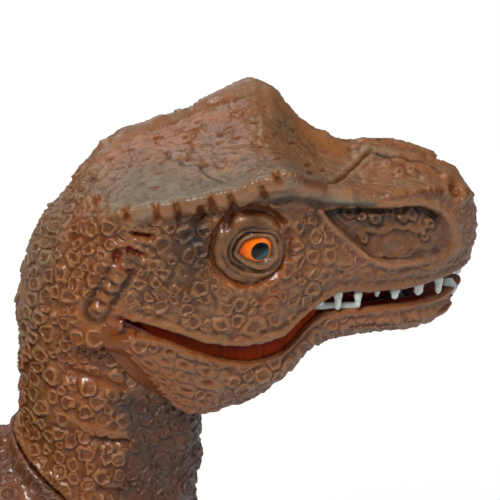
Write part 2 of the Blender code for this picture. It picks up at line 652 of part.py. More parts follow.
# Skull rows, in head lengths from the head's datum: ahead, roof height,
# rim out, rim up, brow out, brow up, cheek out, cheek up, lip out, lip up
SKULL_ROW_SHARES = [
    (-0.490, 0.135, 0.070, 0.130, 0.100, 0.095, 0.150, 0.020, 0.168, -0.095),
    (-0.440, 0.178, 0.095, 0.172, 0.125, 0.125, 0.182, 0.030, 0.203, -0.116),
    (-0.378, 0.214, 0.165, 0.216, 0.172, 0.163, 0.200, 0.040, 0.213, -0.116),
    (-0.345, 0.226, 0.184, 0.235, 0.178, 0.175, 0.206, 0.055, 0.214, -0.052),
    (-0.312, 0.240, 0.198, 0.252, 0.181, 0.188, 0.204, 0.063, 0.214, -0.048),
    (-0.237, 0.262, 0.210, 0.265, 0.190, 0.200, 0.222, 0.050, 0.230, -0.073),
    (-0.150, 0.279, 0.220, 0.280, 0.197, 0.213, 0.235, 0.025, 0.237, -0.110),
    (-0.062, 0.292, 0.238, 0.306, 0.212, 0.238, 0.242, 0.013, 0.237, -0.134),
    (0.044, 0.300, 0.252, 0.347, 0.206, 0.225, 0.225, 0.013, 0.219, -0.125),
    (0.112, 0.256, 0.206, 0.290, 0.188, 0.188, 0.200, 0.025, 0.188, -0.081),
    (0.188, 0.206, 0.156, 0.238, 0.169, 0.163, 0.181, 0.050, 0.165, -0.049),
    (0.288, 0.188, 0.148, 0.205, 0.163, 0.125, 0.170, 0.025, 0.156, -0.061),
    (0.388, 0.178, 0.145, 0.192, 0.153, 0.100, 0.160, 0.000, 0.145, -0.065),
    (0.475, 0.162, 0.108, 0.170, 0.120, 0.088, 0.125, 0.000, 0.100, -0.070),
    (0.531, 0.141, 0.069, 0.141, 0.083, 0.075, 0.085, 0.000, 0.058, -0.078),
    (0.562, 0.106, 0.038, 0.104, 0.048, 0.063, 0.050, 0.000, 0.028, -0.069),
    (0.575, 0.063, 0.015, 0.063, 0.023, 0.044, 0.023, 0.000, 0.013, -0.038),
]
LIP_THICK = 2.4 * MM
PALATE_STEP = 2.0 * MM
PALATE_RISE = 4.2 * MM
CROWN_SHARE = 0.5
CROWN_RISE_SHARE = 0.7
LIP_INNER_SHARE = 0.5
PALATE_INNER_SHARE = 0.6
LIP_ROLL_SHARE = 0.1
PALATE_ARCH_SHARE = 1.1


def skull_ring(row):
    """One cross-section of the upper head, from the roof round to the roof."""
    ahead, roof, rim_y, rim_z, brow_y, brow_z, cheek_y, cheek_z, lip_y, lip_z = row
    inner = max(lip_y * HEAD_LENGTH - LIP_THICK, lip_y * HEAD_LENGTH * LIP_INNER_SHARE)
    deep = max(inner - PALATE_STEP, inner * PALATE_INNER_SHARE)
    lift = PALATE_RISE * min(1.0, deep / (PALATE_STEP * 2))
    half = [
        (rim_y * CROWN_SHARE * HEAD_LENGTH,
         (roof * CROWN_RISE_SHARE + rim_z * (1 - CROWN_RISE_SHARE)) * HEAD_LENGTH),
        (rim_y * HEAD_LENGTH, rim_z * HEAD_LENGTH),
        (brow_y * HEAD_LENGTH, brow_z * HEAD_LENGTH),
        ((brow_y + cheek_y) / 2 * HEAD_LENGTH, (brow_z + cheek_z) / 2 * HEAD_LENGTH),
        (cheek_y * HEAD_LENGTH, cheek_z * HEAD_LENGTH),
        (lip_y * HEAD_LENGTH, lip_z * HEAD_LENGTH),
        (inner, lip_z * HEAD_LENGTH + lift * LIP_ROLL_SHARE),
        (deep, lip_z * HEAD_LENGTH + lift),
    ]
    outline = [(0, roof * HEAD_LENGTH)] + half
    outline += [(0, lip_z * HEAD_LENGTH + lift * PALATE_ARCH_SHARE)]
    outline += [(-y, z) for y, z in reversed(half)]
    return [HEAD_DATUM + Vector((ahead * HEAD_LENGTH, y, z)) for y, z in outline]


def mirrored(name, centre, halves, tilt):
    """A pair of eggs, one each side of the head, in the head's frame."""
    pair = []
    for side, sign in SIDES:
        spot = HEAD_DATUM + Vector((centre[0], centre[1] * sign, centre[2]))
        pair.append(egg(f"{name}_{side}", spot, halves, tilt, NECK_SEAM))
    hang(neck_turn, *pair)
    return pair


EYE_AHEAD = -2 * MM
EYE_OUT = 12.9 * MM
EYE_UP = 9.7 * MM
EYE_R = 5.2 * MM
ORBIT_OUT = 20.6 * MM
ORBIT_LONG = 8.2 * MM
ORBIT_DEEP = 4.4 * MM
ORBIT_HIGH = 7.2 * MM
FOSSA_AHEAD = 27 * MM
FOSSA_OUT = 15.6 * MM
FOSSA_UP = 7.2 * MM
FOSSA_LONG = 13.2 * MM
FOSSA_DEEP = 4.2 * MM
FOSSA_HIGH = 6.0 * MM
NOSTRIL_AHEAD = 40.4 * MM
NOSTRIL_OUT = 6.6 * MM
NOSTRIL_UP = 12.4 * MM
NOSTRIL_LONG = 2.2 * MM
NOSTRIL_DEEP = 1.6 * MM
NOSTRIL_HIGH = 1.2 * MM
JAW_HINGE_BACK = 30 * MM
JAW_HINGE_DOWN = 6 * MM
HINGE = HEAD_DATUM + Vector((-JAW_HINGE_BACK, 0, -JAW_HINGE_DOWN))

neck_rings = [neck_ring(row) for row in spread(NECK_ROW_SHARES, 2)]
neck_rings[0] = [point + NECK_WAY * SEAM_GAP for point in neck_rings[0]]
skull_rings = [skull_ring(row) for row in spread(SKULL_ROW_SHARES, 2)]

head = body_of("head_and_neck", neck_rings, NECK_SEAM, SKIN)
skull = body_of("skull_form", skull_rings, NECK_SEAM, SKIN)
neck_hollow_rows = [NECK_ROW_SHARES[0]] + NECK_ROW_SHARES[2:5]
hollow = [neck_ring(row, NECK_WALL, LIMB_SIDES) for row in neck_hollow_rows]
hollow[0] = [point + NECK_WAY * (SEAM_GAP + NECK_WALL)
             for point in neck_ring(NECK_ROW_SHARES[0], NECK_WALL * 2, LIMB_SIDES)]
neck_hollow = body_of("neck_hollow", hollow, NECK_SEAM, None)
hang(neck_turn, head, skull, neck_hollow)
combine(head, skull, "UNION")
combine(head, neck_hollow)
combine(head, neck_bore)
for pair in (
    mirrored("orbit", (EYE_AHEAD, ORBIT_OUT, EYE_UP), (ORBIT_LONG, ORBIT_DEEP, ORBIT_HIGH), 0.0),
    mirrored("eye_socket", (EYE_AHEAD, EYE_OUT, EYE_UP), (EYE_R + FIT_GAP,) * 3, 0.0),
    mirrored("fossa", (FOSSA_AHEAD, FOSSA_OUT, FOSSA_UP), (FOSSA_LONG, FOSSA_DEEP, FOSSA_HIGH),
             math.radians(-12)),
    mirrored("nostril", (NOSTRIL_AHEAD, NOSTRIL_OUT, NOSTRIL_UP),
             (NOSTRIL_LONG, NOSTRIL_DEEP, NOSTRIL_HIGH), math.radians(-20)),
):
    for tool in pair:
        combine(head, tool)
for side, sign in SIDES:
    spot = HEAD_DATUM + Vector((EYE_AHEAD, EYE_OUT * sign, EYE_UP))
    ball = egg(f"eye_{side}", spot, (EYE_R,) * 3, 0.0, spot, EYE)
    hang(neck_turn, ball)

# Lower jaw. Rows in head lengths from the datum: ahead, top height,
# half width above, half width below, bottom height
JAW_ROW_SHARES = [
    (-0.350, -0.082, 0.203, 0.196, -0.130),
    (-0.325, -0.086, 0.206, 0.198, -0.178),
    (-0.288, -0.095, 0.208, 0.198, -0.230),
    (-0.237, -0.113, 0.212, 0.196, -0.318),
    (-0.188, -0.141, 0.215, 0.190, -0.366),
    (-0.125, -0.172, 0.214, 0.175, -0.375),
    (-0.038, -0.200, 0.206, 0.152, -0.350),
    (0.050, -0.191, 0.188, 0.128, -0.303),
    (0.112, -0.134, 0.169, 0.108, -0.250),
    (0.163, -0.109, 0.156, 0.096, -0.222),
    (0.288, -0.115, 0.143, 0.083, -0.208),
    (0.400, -0.124, 0.120, 0.070, -0.214),
    (0.475, -0.133, 0.082, 0.045, -0.200),
    (0.525, -0.133, 0.040, 0.020, -0.166),
    (0.548, -0.131, 0.016, 0.009, -0.145),
]
JAW_EDGE = 0.8 * MM
JAW_LIP = 2.4 * MM
JAW_FLOOR_DEPTH = 3.4 * MM
THROAT_DEPTH_EXTRA = 3.4 * MM
THROAT_WIDTH_EXTRA = 0.7 * MM
THROAT_TILT = math.radians(6)
JAW_OPEN = math.radians(12)
JAW_SHUT = math.radians(1)
EAR_R = 3.2 * MM
EAR_IN = 11.9 * MM
EAR_OUT = 15.2 * MM
EAR_GAP = 0.5 * MM
EAR_REACH = 10.5 * MM
EAR_ANGLE = math.radians(-35)
SLOT_REACH_SHARE = 1.5
PIN_R = 1.5 * MM
PIN_HALF = 15.2 * MM
PIN_GAP = 0.3 * MM
JAW_CHEEK_SHARES = (0.6, 0.45)
JAW_CHEEK_DOWN_SHARE = 0.45
JAW_LOW_DOWN_SHARE = 0.9
JAW_KEEL_SHARE = 0.55
FLOOR_LEAST_SHARE = 0.2
FLOOR_BASE_SHARE = 0.85
THROAT_END_SHARES = (-0.3, 0.75)


def jaw_ring(row):
    ahead, top, wide_y, low_y, bottom = row
    cheek_y = wide_y * JAW_CHEEK_SHARES[0] + low_y * JAW_CHEEK_SHARES[1]
    half = [
        (wide_y * HEAD_LENGTH - min(JAW_LIP, wide_y * HEAD_LENGTH / 2), top * HEAD_LENGTH),
        (wide_y * HEAD_LENGTH, top * HEAD_LENGTH - JAW_EDGE),
        (cheek_y * HEAD_LENGTH, (top + (bottom - top) * JAW_CHEEK_DOWN_SHARE) * HEAD_LENGTH),
        (low_y * HEAD_LENGTH, (top + (bottom - top) * JAW_LOW_DOWN_SHARE) * HEAD_LENGTH),
        (low_y * JAW_KEEL_SHARE * HEAD_LENGTH, bottom * HEAD_LENGTH),
    ]
    outline = [(0, top * HEAD_LENGTH)] + half + [(0, bottom * HEAD_LENGTH)]
    outline += [(-y, z) for y, z in reversed(half)]
    return [HEAD_DATUM + Vector((ahead * HEAD_LENGTH, y, z)) for y, z in outline]


def floor_ring(row, side_gap, low, high, taper=1.0):
    """Box ring across the mouth floor, between two heights from the jaw's top."""
    ahead, top, wide_y = row[:3]
    widest = wide_y * HEAD_LENGTH
    half_wide = max(widest - side_gap, widest * FLOOR_LEAST_SHARE) * taper
    base_wide = half_wide * FLOOR_BASE_SHARE
    x = ahead * HEAD_LENGTH
    z = top * HEAD_LENGTH
    return [HEAD_DATUM + Vector((x, y, z + rise)) for y, rise in
            ((-half_wide, high), (half_wide, high), (base_wide, low), (-base_wide, low))]


jaw_turn = axis_empty("jaw_turn", HINGE, neck_turn)
jaw = body_of("lower_jaw", [jaw_ring(row) for row in spread(JAW_ROW_SHARES, 2)], HINGE, SKIN)
mouth_rows = spread(JAW_ROW_SHARES[6:12], 2)
mouth_rings = [floor_ring(row, JAW_LIP, -JAW_FLOOR_DEPTH, OVERRUN) for row in mouth_rows]
mouth = body_of("mouth_floor", mouth_rings, HINGE, None)
throat_way = Vector((math.sin(THROAT_TILT), 0, -math.cos(THROAT_TILT)))
throat_top = HEAD_DATUM + Vector((-HEAD_DATUM_AHEAD, 0, -JAW_HINGE_DOWN))
throat_rings = []
throat_row = NECK_ROW_SHARES[3]
for share in THROAT_END_SHARES:
    centre = throat_top + throat_way * (NECK_RISE * share)
    throat_rings.append(oval(centre, math.pi / 2, NECK_DEPTH * throat_row[3] + THROAT_DEPTH_EXTRA,
                             NECK_WIDTH * throat_row[4] + THROAT_WIDTH_EXTRA, BODY_SIDES))
throat = body_of("throat_clearance", throat_rings, HINGE, None)
hang(jaw_turn, jaw, mouth, throat)
combine(jaw, mouth)
combine(jaw, throat)
hinge_xz = (HINGE.x, HINGE.z)
ear_form = fan(hinge_xz, EAR_REACH, EAR_R, EAR_ANGLE, EAR_ANGLE)
slot_form = fan(hinge_xz, EAR_REACH * SLOT_REACH_SHARE, EAR_R + EAR_GAP,
                EAR_ANGLE + JAW_SHUT, EAR_ANGLE - JAW_OPEN)

for side, sign in SIDES:
    near, far = sorted((sign * EAR_IN, sign * EAR_OUT))
    ear = slab(f"jaw_ear_{side}", ear_form, near, far, HINGE, SKIN)
    hang(jaw_turn, ear)
    combine(jaw, ear, "UNION")
    near, far = sorted((sign * (EAR_IN - EAR_GAP), sign * (EAR_OUT + EAR_GAP)))
    slot = slab(f"ear_slot_{side}", slot_form, near, far, HINGE)
    hang(neck_turn, slot)
    combine(head, slot)
pin = drum("jaw_pin", HINGE, LEFT, PIN_R, PIN_HALF * 2, HINGE, STEEL, LIMB_SIDES)
pin_bore = drum("jaw_pin_bore", HINGE, LEFT, PIN_R + PIN_GAP, (PIN_HALF + PIN_GAP) * 2, HINGE,
                sides=LIMB_SIDES)
hang(neck_turn, pin)
hang(jaw_turn, pin_bore)
combine(head, pin_bore)
combine(jaw, pin_bore)

# Tongue: lies on the mouth floor
TONGUE_THICK = 1.8 * MM
TONGUE_WIDE_SHARE = 0.42
TONGUE_TIP_SHARE = 0.30
tongue_rings = [floor_ring(row, JAW_LIP, FIT_GAP - JAW_FLOOR_DEPTH,
                           FIT_GAP - JAW_FLOOR_DEPTH + TONGUE_THICK, TONGUE_WIDE_SHARE)
                for row in mouth_rows[2:-2]]
tongue_rings.append(floor_ring(mouth_rows[-2], JAW_LIP, FIT_GAP - JAW_FLOOR_DEPTH,
                               FIT_GAP - JAW_FLOOR_DEPTH + TONGUE_THICK, TONGUE_TIP_SHARE))
tongue = body_of("tongue", tongue_rings, HINGE, MOUTH)
hang(jaw_turn, tongue)

# Tooth rows: one strip each, pointed by a saw of heights along the lip
TOOTH_STRIP = 1.2 * MM
TOOTH_STEPS = 4
UPPER_TOOTH = 2.0 * MM
LOWER_TOOTH = 1.0 * MM
UPPER_TOOTH_INSET = 1.2 * MM
LOWER_TOOTH_INSET = 1.6 * MM
TOOTH_SEAT_GAP = 0.45 * MM
GUM_SHARE = 0.2
POINT_SHARE = 0.4


def tooth_strip(name, path, way, length, pivot, hold):
    """Strip along a path round the mouth, with a point at every second step."""
    rings = []
    last = len(path) - 1
    for index, point in enumerate(path):
        along = (path[min(index + 1, last)] - path[max(index - 1, 0)]).normalized()
        across = Vector((-along.y, along.x, 0)).normalized() * (TOOTH_STRIP / 2)
        pointed = index % 2 == 1
        tip = Vector((0, 0, way * length * (1 if pointed else GUM_SHARE)))
        thin = across * (POINT_SHARE if pointed else 1)
        rings.append([point + across, point - across, point - thin + tip, point + thin + tip])
    made = body_of(name, rings, pivot, TOOTH, smooth_deg=20)
    hang(hold, made)
    return made


def mouth_path(rows, out_column, up_column, inset, rise):
    """Path round the front of the mouth, right side to left, inside the edge."""
    side_points = []
    for row in rows:
        out = max(row[out_column] * HEAD_LENGTH - inset, 0)
        side_points.append((row[0] * (HEAD_LENGTH - inset), out, row[up_column] * HEAD_LENGTH + rise))
    path = [HEAD_DATUM + Vector((x, -y, z)) for x, y, z in side_points]
    path += [HEAD_DATUM + Vector((x, y, z)) for x, y, z in reversed(side_points)]
    return path


upper_rows = spread(SKULL_ROW_SHARES[10:15], TOOTH_STEPS)
lower_rows = spread(JAW_ROW_SHARES[9:14], TOOTH_STEPS)
upper_path = mouth_path(upper_rows, 8, 9, UPPER_TOOTH_INSET, -TOOTH_SEAT_GAP)
lower_path = mouth_path(lower_rows, 2, 1, LOWER_TOOTH_INSET, TOOTH_SEAT_GAP)
tooth_strip("upper_teeth", upper_path, -1, UPPER_TOOTH, NECK_SEAM, neck_turn)
tooth_strip("lower_teeth", lower_path, 1, LOWER_TOOTH, HINGE, jaw_turn)
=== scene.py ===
"""Soft plastic dinosaur figure: carved and painted skins, eyes, teeth and tongue
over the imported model, with the floor, the lamps and the camera."""

import json
import math

import bpy
import numpy as np
from mathutils import Matrix, Vector
from mathutils.bvhtree import BVHTree
from mathutils.kdtree import KDTree

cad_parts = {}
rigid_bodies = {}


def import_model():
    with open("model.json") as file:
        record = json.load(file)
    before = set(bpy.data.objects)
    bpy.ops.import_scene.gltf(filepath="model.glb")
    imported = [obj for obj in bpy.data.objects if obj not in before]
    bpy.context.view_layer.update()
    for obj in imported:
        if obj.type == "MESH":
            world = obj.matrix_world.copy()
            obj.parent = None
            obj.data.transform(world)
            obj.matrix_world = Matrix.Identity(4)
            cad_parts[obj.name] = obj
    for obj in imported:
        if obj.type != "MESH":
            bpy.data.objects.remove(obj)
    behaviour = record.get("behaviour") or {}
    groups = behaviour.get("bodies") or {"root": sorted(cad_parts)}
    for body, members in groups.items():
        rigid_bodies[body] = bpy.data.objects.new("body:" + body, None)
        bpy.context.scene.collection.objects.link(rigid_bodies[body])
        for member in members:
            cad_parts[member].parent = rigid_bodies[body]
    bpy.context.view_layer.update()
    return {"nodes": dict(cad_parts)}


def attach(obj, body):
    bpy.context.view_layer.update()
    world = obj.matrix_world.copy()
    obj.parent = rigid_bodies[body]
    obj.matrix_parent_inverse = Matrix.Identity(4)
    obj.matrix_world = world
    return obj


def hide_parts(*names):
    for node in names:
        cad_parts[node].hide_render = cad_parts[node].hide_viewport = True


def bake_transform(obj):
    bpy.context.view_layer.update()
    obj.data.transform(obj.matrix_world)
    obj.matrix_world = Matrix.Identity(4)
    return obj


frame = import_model()
MM = 0.001

# Camera
# It stands a little behind the figure's right side and looks down on the head.
# The photograph is 500 pixels square, and one of them is 0.2 mm at the aim.
PHOTO_SIDE = 500
PIXEL = 0.2 * MM
AZIMUTH = math.radians(-10)
ELEVATION = math.radians(30)
LENS = 150.0
SENSOR = 36.0
AIM = Vector((118.9, 0.0, 149.98)) * MM
AIM_DISTANCE = PIXEL * PHOTO_SIDE * LENS / SENSOR

rightward = Vector((math.cos(AZIMUTH), math.sin(AZIMUTH), 0))
backward = Vector((math.sin(AZIMUTH) * math.cos(ELEVATION),
                   -math.cos(AZIMUTH) * math.cos(ELEVATION), math.sin(ELEVATION)))
upward = backward.cross(rightward)
viewpoint = AIM + backward * AIM_DISTANCE

bpy.ops.object.select_all(action="DESELECT")
bpy.ops.object.camera_add(location=viewpoint)
camera = bpy.context.object
camera.rotation_euler = Matrix((rightward, upward, backward)).transposed().to_euler()
camera.data.lens = LENS
camera.data.sensor_width = SENSOR
camera.data.clip_start = 0.01
bpy.context.scene.camera = camera


def photo_spots(points):
    """Pixel columns and rows of points given in millimetres."""
    offset = points * MM - np.array(viewpoint)
    depth = -offset @ np.array(backward)
    scale = AIM_DISTANCE / depth / PIXEL
    across = PHOTO_SIDE / 2 + offset @ np.array(rightward) * scale
    down = PHOTO_SIDE / 2 - offset @ np.array(upward) * scale
    return across, down


def sight_line(column, row):
    """Direction from the viewpoint through a pixel of the photograph."""
    aside = (column - PHOTO_SIDE / 2) * PIXEL
    above = (PHOTO_SIDE / 2 - row) * PIXEL
    return (rightward * aside + upward * above - backward * AIM_DISTANCE).normalized()


# Material wiring
# One class that stands for a socket, with plain arithmetic on it.
class Wire:
    """A value or colour in a material, wired up by writing expressions."""

    def __init__(self, tree, socket):
        self.tree = tree
        self.socket = socket

    def make(self, kind, settings=None, sockets=None, out=0):
        """Add a node: its settings first, then values or links of its sockets."""
        node = self.tree.nodes.new(kind)
        for key, value in (settings or {}).items():
            if key == "stops":
                ramp = node.color_ramp
                while len(ramp.elements) < len(value):
                    ramp.elements.new(0.5)
                for stop, (place, colour) in zip(ramp.elements, value):
                    stop.position = place
                    stop.color = colour
            else:
                setattr(node, key, value)
        for key, value in (sockets or {}).items():
            if isinstance(value, Wire):
                self.tree.links.new(value.socket, node.inputs[key])
            else:
                node.inputs[key].default_value = value
        return Wire(self.tree, node.outputs[out])

    def math(self, operation, first, second=0.0, third=0.0):
        return self.make("ShaderNodeMath", {"operation": operation}, {0: first, 1: second, 2: third})

    def __add__(self, other):
        return self.math("ADD", self, other)

    __radd__ = __add__

    def __sub__(self, other):
        return self.math("SUBTRACT", self, other)

    def __rsub__(self, other):
        return self.math("SUBTRACT", other, self)

    def __mul__(self, other):
        return self.math("MULTIPLY", self, other)

    __rmul__ = __mul__

    def __truediv__(self, other):
        return self.math("DIVIDE", self, other)

    def __pow__(self, other):
        return self.math("POWER", self, other)

    def clamp(self):
        return self.make("ShaderNodeClamp", None, {0: self})

    def ease(self, low, high):
        """0 below low, 1 above high, and smooth between them."""
        return self.make("ShaderNodeMapRange", {"interpolation_type": "SMOOTHSTEP"},
                         {0: self, 1: low, 2: high})

    def bell(self, width):
        """1 where the value is 0, falling to nothing past width on each side."""
        share = self / width
        return self.math("EXPONENT", share * share * -1)

    def between(self, first, second):
        """Colour between two colours, by this value from 0 to 1."""
        return self.make("ShaderNodeMix", {"data_type": "RGBA"}, {0: self, 6: first, 7: second}, out=2)


def tint(red, green, blue):
    """Shader colour of a paint given as it looks, 0 to 255."""
    parts = []
    for value in (red, green, blue):
        share = value / 255
        parts.append(share / 12.92 if share <= 0.04045 else ((share + 0.055) / 1.055) ** 2.4)
    return (*parts, 1.0)


def new_finish(name):
    """An empty material: the material, its shader and a wire to build from."""
    made = bpy.data.materials.new(name)
    made.use_nodes = True
    tree = made.node_tree
    shader = tree.nodes["Principled BSDF"]
    place = tree.nodes.new("ShaderNodeTexCoord")
    return made, shader, Wire(tree, place.outputs["Object"])


def feed(wire, shader, socket):
    wire.tree.links.new(wire.socket, shader.inputs[socket])


def settle(shader, levels):
    """Set plain numbers and colours of a shader by their names."""
    for name, value in levels.items():
        shader.inputs[name].default_value = value


def roughen(height, shader, strength, depth):
    """Relief too fine for the mesh, from a height and its depth in millimetres."""
    bump = height.make("ShaderNodeBump", None,
                       {"Strength": strength, "Distance": depth * MM, "Height": height})
    feed(bump, shader, "Normal")


def speckle(place, size, detail=3.0, rough=0.55):
    """Cloudy noise, 0 to 1, with lumps of about size in millimetres."""
    return place.make("ShaderNodeTexNoise", None,
                      {"Vector": place, "Scale": 1 / (size * MM), "Detail": detail, "Roughness": rough})


# Stage
# A plain white floor, a pale surround and three soft lamps.
FLOOR_SIDE = 6.0
FLOOR_LIFT = 0.80
FLOOR_GLOW = 1.12
WHITE = (1, 1, 1, 1)

bpy.ops.mesh.primitive_plane_add(size=FLOOR_SIDE, location=(0, 0, 0))
floor = bpy.context.object
floor.name = "floor"
floor_finish, shader, place = new_finish("floor_white")
settle(shader, {"Base Color": tint(238, 238, 238), "Roughness": 0.7, "Specular IOR Level": 0.1})
floor_seen = place.make("ShaderNodeLightPath")
floor_glow = place.make("ShaderNodeEmission", None, {"Color": WHITE, "Strength": FLOOR_GLOW})
floor_mix = place.make("ShaderNodeMixShader", None, {
    0: floor_seen * FLOOR_LIFT, 1: Wire(place.tree, shader.outputs[0]), 2: floor_glow})
place.tree.links.new(floor_mix.socket, place.tree.nodes["Material Output"].inputs["Surface"])
floor.data.materials.append(floor_finish)

SURROUND_LEVEL = 0.17
surround = bpy.data.worlds.new("surround")
surround.use_nodes = True
bpy.context.scene.world = surround
sky = surround.node_tree
path_node = sky.nodes.new("ShaderNodeLightPath")
seen = Wire(sky, path_node.outputs["Is Camera Ray"])
feed(SURROUND_LEVEL + seen * (1 - SURROUND_LEVEL), sky.nodes["Background"], "Strength")
settle(sky.nodes["Background"], {"Color": WHITE})

LAMPS = [
    ("key_lamp", (-0.26, -0.36, 0.66), 0.22, 5.8),
    ("fill_lamp", (0.62, -0.50, 0.30), 0.60, 1.2),
    ("back_lamp", (-0.16, 0.62, 0.50), 0.50, 1.6),
]
for lamp_name, spot, size, power in LAMPS:
    bpy.ops.object.light_add(type="AREA", location=AIM + Vector(spot))
    lamp = bpy.context.object
    lamp.name = lamp_name
    lamp.data.shape = "DISK"
    lamp.data.size = size
    lamp.data.energy = power
    lamp.rotation_euler = (-Vector(spot)).to_track_quat("-Z", "Y").to_euler()

bpy.context.scene.view_settings.view_transform = "Standard"


# Torso: two half shells of soft plastic, cast with a hide of small scales
# and screwed together along the middle of the figure.
# The carving tools for all the skins are defined here, at their first use.
def fade(value, low, high):
    share = np.clip((value - low) / (high - low), 0, 1)
    return share * share * (3 - 2 * share)


def hump(value, width):
    return np.exp(-(value / width) ** 2)

def more(mask, amount):
    """Raise a mask to an amount, where that is higher."""
    np.maximum(mask, amount, out=mask)


GRAIN_TABLE = np.random.default_rng(7).uniform(-1, 1, 65536)


def lumps(points, size, seed=0):
    """Smooth random field from -1 to 1, with lumps of about size."""
    cell = points / size + seed * 17.3
    base = np.floor(cell).astype(np.int64)
    part = cell - base
    part = part * part * (3 - 2 * part)
    total = np.zeros(len(points))
    for dx in (0, 1):
        for dy in (0, 1):
            for dz in (0, 1):
                spot = ((base[:, 0] + dx) * 73856093) ^ ((base[:, 1] + dy) * 19349663)
                spot = (spot ^ ((base[:, 2] + dz) * 83492791)) & 65535
                share = np.where(dx, part[:, 0], 1 - part[:, 0])
                share = share * np.where(dy, part[:, 1], 1 - part[:, 1])
                share = share * np.where(dz, part[:, 2], 1 - part[:, 2])
                total += share * GRAIN_TABLE[spot]
    return total


def smooth_path(stops, steps=5):
    """More points on a smooth curve through a few stops."""
    stops = np.array(stops, float)
    out = []
    last = len(stops) - 1
    for span in range(last):
        before, start = stops[max(span - 1, 0)], stops[span]
        end, after = stops[span + 1], stops[min(span + 2, last)]
        for step in range(steps):
            t = step / steps
            out.append(0.5 * (2 * start + (end - before) * t
                              + (2 * before - 5 * start + 4 * end - after) * t * t
                              + (3 * start - before - 3 * end + after) * t * t * t))
    out.append(stops[last])
    return np.array(out)


def reach(points, path, far=9.0):
    """Distance of every point from a path, and its share of the path's length.
    Points outside the box round the path, grown by far, just get far."""
    best = np.full(len(points), far)
    where = np.zeros(len(points))
    close = np.all((points > path.min(axis=0) - far) & (points < path.max(axis=0) + far), axis=1)
    spots = points[close]
    gaps = best[close]
    shares = where[close]
    lengths = np.linalg.norm(np.diff(path, axis=0), axis=1)
    marks = np.concatenate([[0], np.cumsum(lengths)]) / max(lengths.sum(), 1e-9)
    for start, end, low, high in zip(path, path[1:], marks, marks[1:]):
        way = end - start
        share = np.clip((spots - start) @ way / max(way @ way, 1e-12), 0, 1)
        gap = np.linalg.norm(spots - start - share[:, None] * way, axis=1)
        closer = gap < gaps
        gaps = np.where(closer, gap, gaps)
        shares = np.where(closer, low + (high - low) * share, shares)
    best[close] = gaps
    where[close] = shares
    return best, where


def inside_by(across, down, outline, far=24.0):
    """Pixels that spots lie inside a closed outline, negative outside it."""
    outline = np.array(outline, float)
    spots = np.stack([across, down], axis=1)
    closed = np.vstack([outline, outline[:1]])
    gap, _ = reach(spots, closed, far)
    inside = np.zeros(len(spots), bool)
    for (x0, y0), (x1, y1) in zip(closed, closed[1:]):
        if y0 == y1:
            continue
        crosses = (y0 > down) != (y1 > down)
        inside ^= crosses & (across < (x1 - x0) * (down - y0) / (y1 - y0) + x0)
    return np.where(inside, gap, -gap)


def scatter(points, spacing, seed, spread, placed):
    """Scale centres over a surface, about one spacing apart, with their radii.
    Placed ones, each a spot and a radius, come first."""
    rng = np.random.default_rng(seed)
    order = rng.permutation(len(points))[:60000]
    sizes = spacing * (1 + spread * rng.uniform(-1, 1, len(order)))
    tree = KDTree(len(order))
    for number, index in enumerate(order):
        tree.insert(points[index], number)
    tree.balance()
    open_spot = np.ones(len(order), bool)
    centres, radii = [], []
    for spot, radius in placed:
        centres.append(spot)
        radii.append(radius)
        for _, other, _ in tree.find_range(spot, radius + spacing * 0.42):
            open_spot[other] = False
    for number, index in enumerate(order):
        if open_spot[number]:
            centres.append(points[index])
            radii.append(sizes[number] * 0.56)
            for _, other, _ in tree.find_range(points[index], sizes[number]):
                open_spot[other] = False
    return np.array(centres), np.array(radii)


GRID_SIDE = 1024


